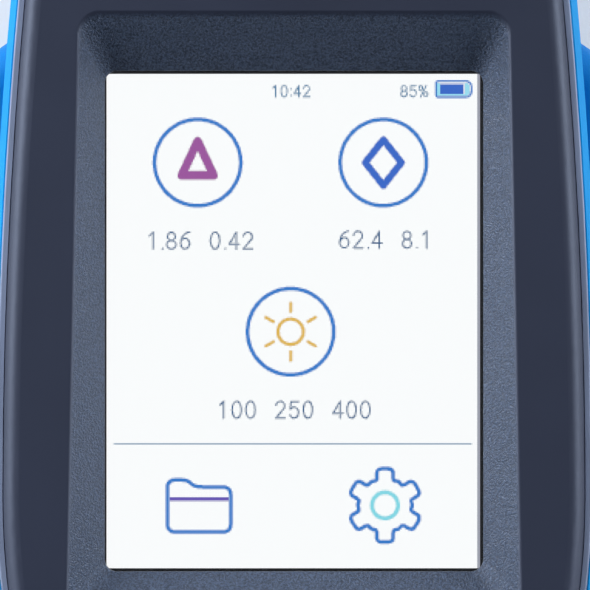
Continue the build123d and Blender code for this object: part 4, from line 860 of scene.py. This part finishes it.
def studio_world():
    """Diffuse surfaces get soft light, more of it from behind. Reflections see a pale horizon, with a
    dark room in front and pale walls at both sides, and the camera sees plain pale air."""
    world = bpy.data.worlds.new("studio")
    world.use_nodes = True
    world.node_tree.nodes.clear()
    w = Nodes(world.node_tree)
    heading = w.node("ShaderNodeSeparateXYZ")
    w.link(w.node("ShaderNodeTexCoord").outputs["Generated"], heading.inputs[0])
    x, y, z = heading.outputs
    rays = w.node("ShaderNodeLightPath").outputs

    def background(colour, strength):
        made = w.node("ShaderNodeBackground")
        w.fill(made.inputs["Color"], colour)
        w.fill(made.inputs["Strength"], strength)
        return made.outputs[0]

    horizon = w.ramp(z, 0.05, 0.35, 1.0, 0.26)
    front = w.ramp(y, -0.9, -0.2, 0.12, 1.0)
    walls = w.ramp(w.math("ABSOLUTE", x), 0.55, 0.85, 0.0, 1.0)
    walls = w.math("MULTIPLY", walls, w.ramp(z, 0.22, 0.38, 0.0, 1.0))
    room = w.math("MAXIMUM", w.math("MULTIPLY", horizon, front), walls)
    soft = background((0.90, 0.94, 1.0), w.ramp(y, -1.0, 1.0, 0.05, 0.38))
    mirrored = background((0.79, 0.84, 0.95), room)
    seen = background((0.93, 0.94, 0.98), 1.0)
    glossy = w.math("MAXIMUM", rays["Is Glossy Ray"], rays["Is Transmission Ray"])
    surroundings = w.either(rays["Is Camera Ray"], w.either(glossy, soft, mirrored), seen)
    w.link(surroundings, w.node("ShaderNodeOutputWorld").inputs[0])
    return world


scene.world = studio_world()

# Lamps: the key stands high behind the object on its left, and one panel at each side
OBJECT_MIDDLE = (0, 0, 0.04)
FACE_MIDDLE = (0, 0, 0.05)
NEUTRAL = (0.98, 0.99, 1.0)
BLUISH = (0.92, 0.96, 1.0)
KEY_SIZE = (0.9, 0.9)
WALL_SIZE = (0.7, 0.35)
REAR_SIZE = (0.6, 0.35)


def softbox(name, place, aim, size, power, colour):
    light = bpy.data.lights.new(name, "AREA")
    light.shape = "RECTANGLE"
    light.size, light.size_y = size
    light.energy = power
    light.color = colour
    holder = bpy.data.objects.new(name, light)
    holder.location = place
    holder.rotation_euler = (Vector(aim) - Vector(place)).to_track_quat("-Z", "Y").to_euler()
    scene.collection.objects.link(holder)


softbox("key", (-0.46, 0.52, 0.66), OBJECT_MIDDLE, KEY_SIZE, power=5.6, colour=NEUTRAL)
softbox("left_wall", (-0.72, 0.18, 0.32), FACE_MIDDLE, WALL_SIZE, power=7.2, colour=BLUISH)
softbox("right_wall", (0.72, 0.18, 0.32), FACE_MIDDLE, WALL_SIZE, power=6.2, colour=BLUISH)
softbox("rear", (0.05, 0.75, 0.45), OBJECT_MIDDLE, REAR_SIZE, power=0.5, colour=NEUTRAL)

# Camera square to the tilted face, on a long lens. Its picture is this wide at the display.
AIM = on_face(0.15, 3.77, -6.8)
DISTANCE = 0.9
FRAME_WIDTH = 0.0854
SENSOR_WIDTH = 36
lens = bpy.data.cameras.new("camera")
lens.sensor_width = SENSOR_WIDTH
lens.lens = SENSOR_WIDTH * DISTANCE / FRAME_WIDTH
lens.clip_start = 0.01
camera = bpy.data.objects.new("camera", lens)
turned = Matrix((Vector((1, 0, 0)), FACE_U, FACE_N)).transposed().to_4x4()
camera.matrix_world = Matrix.Translation(AIM + FACE_N * DISTANCE) @ turned
scene.collection.objects.link(camera)
scene.camera = camera
scene.view_settings.view_transform = "Standard"
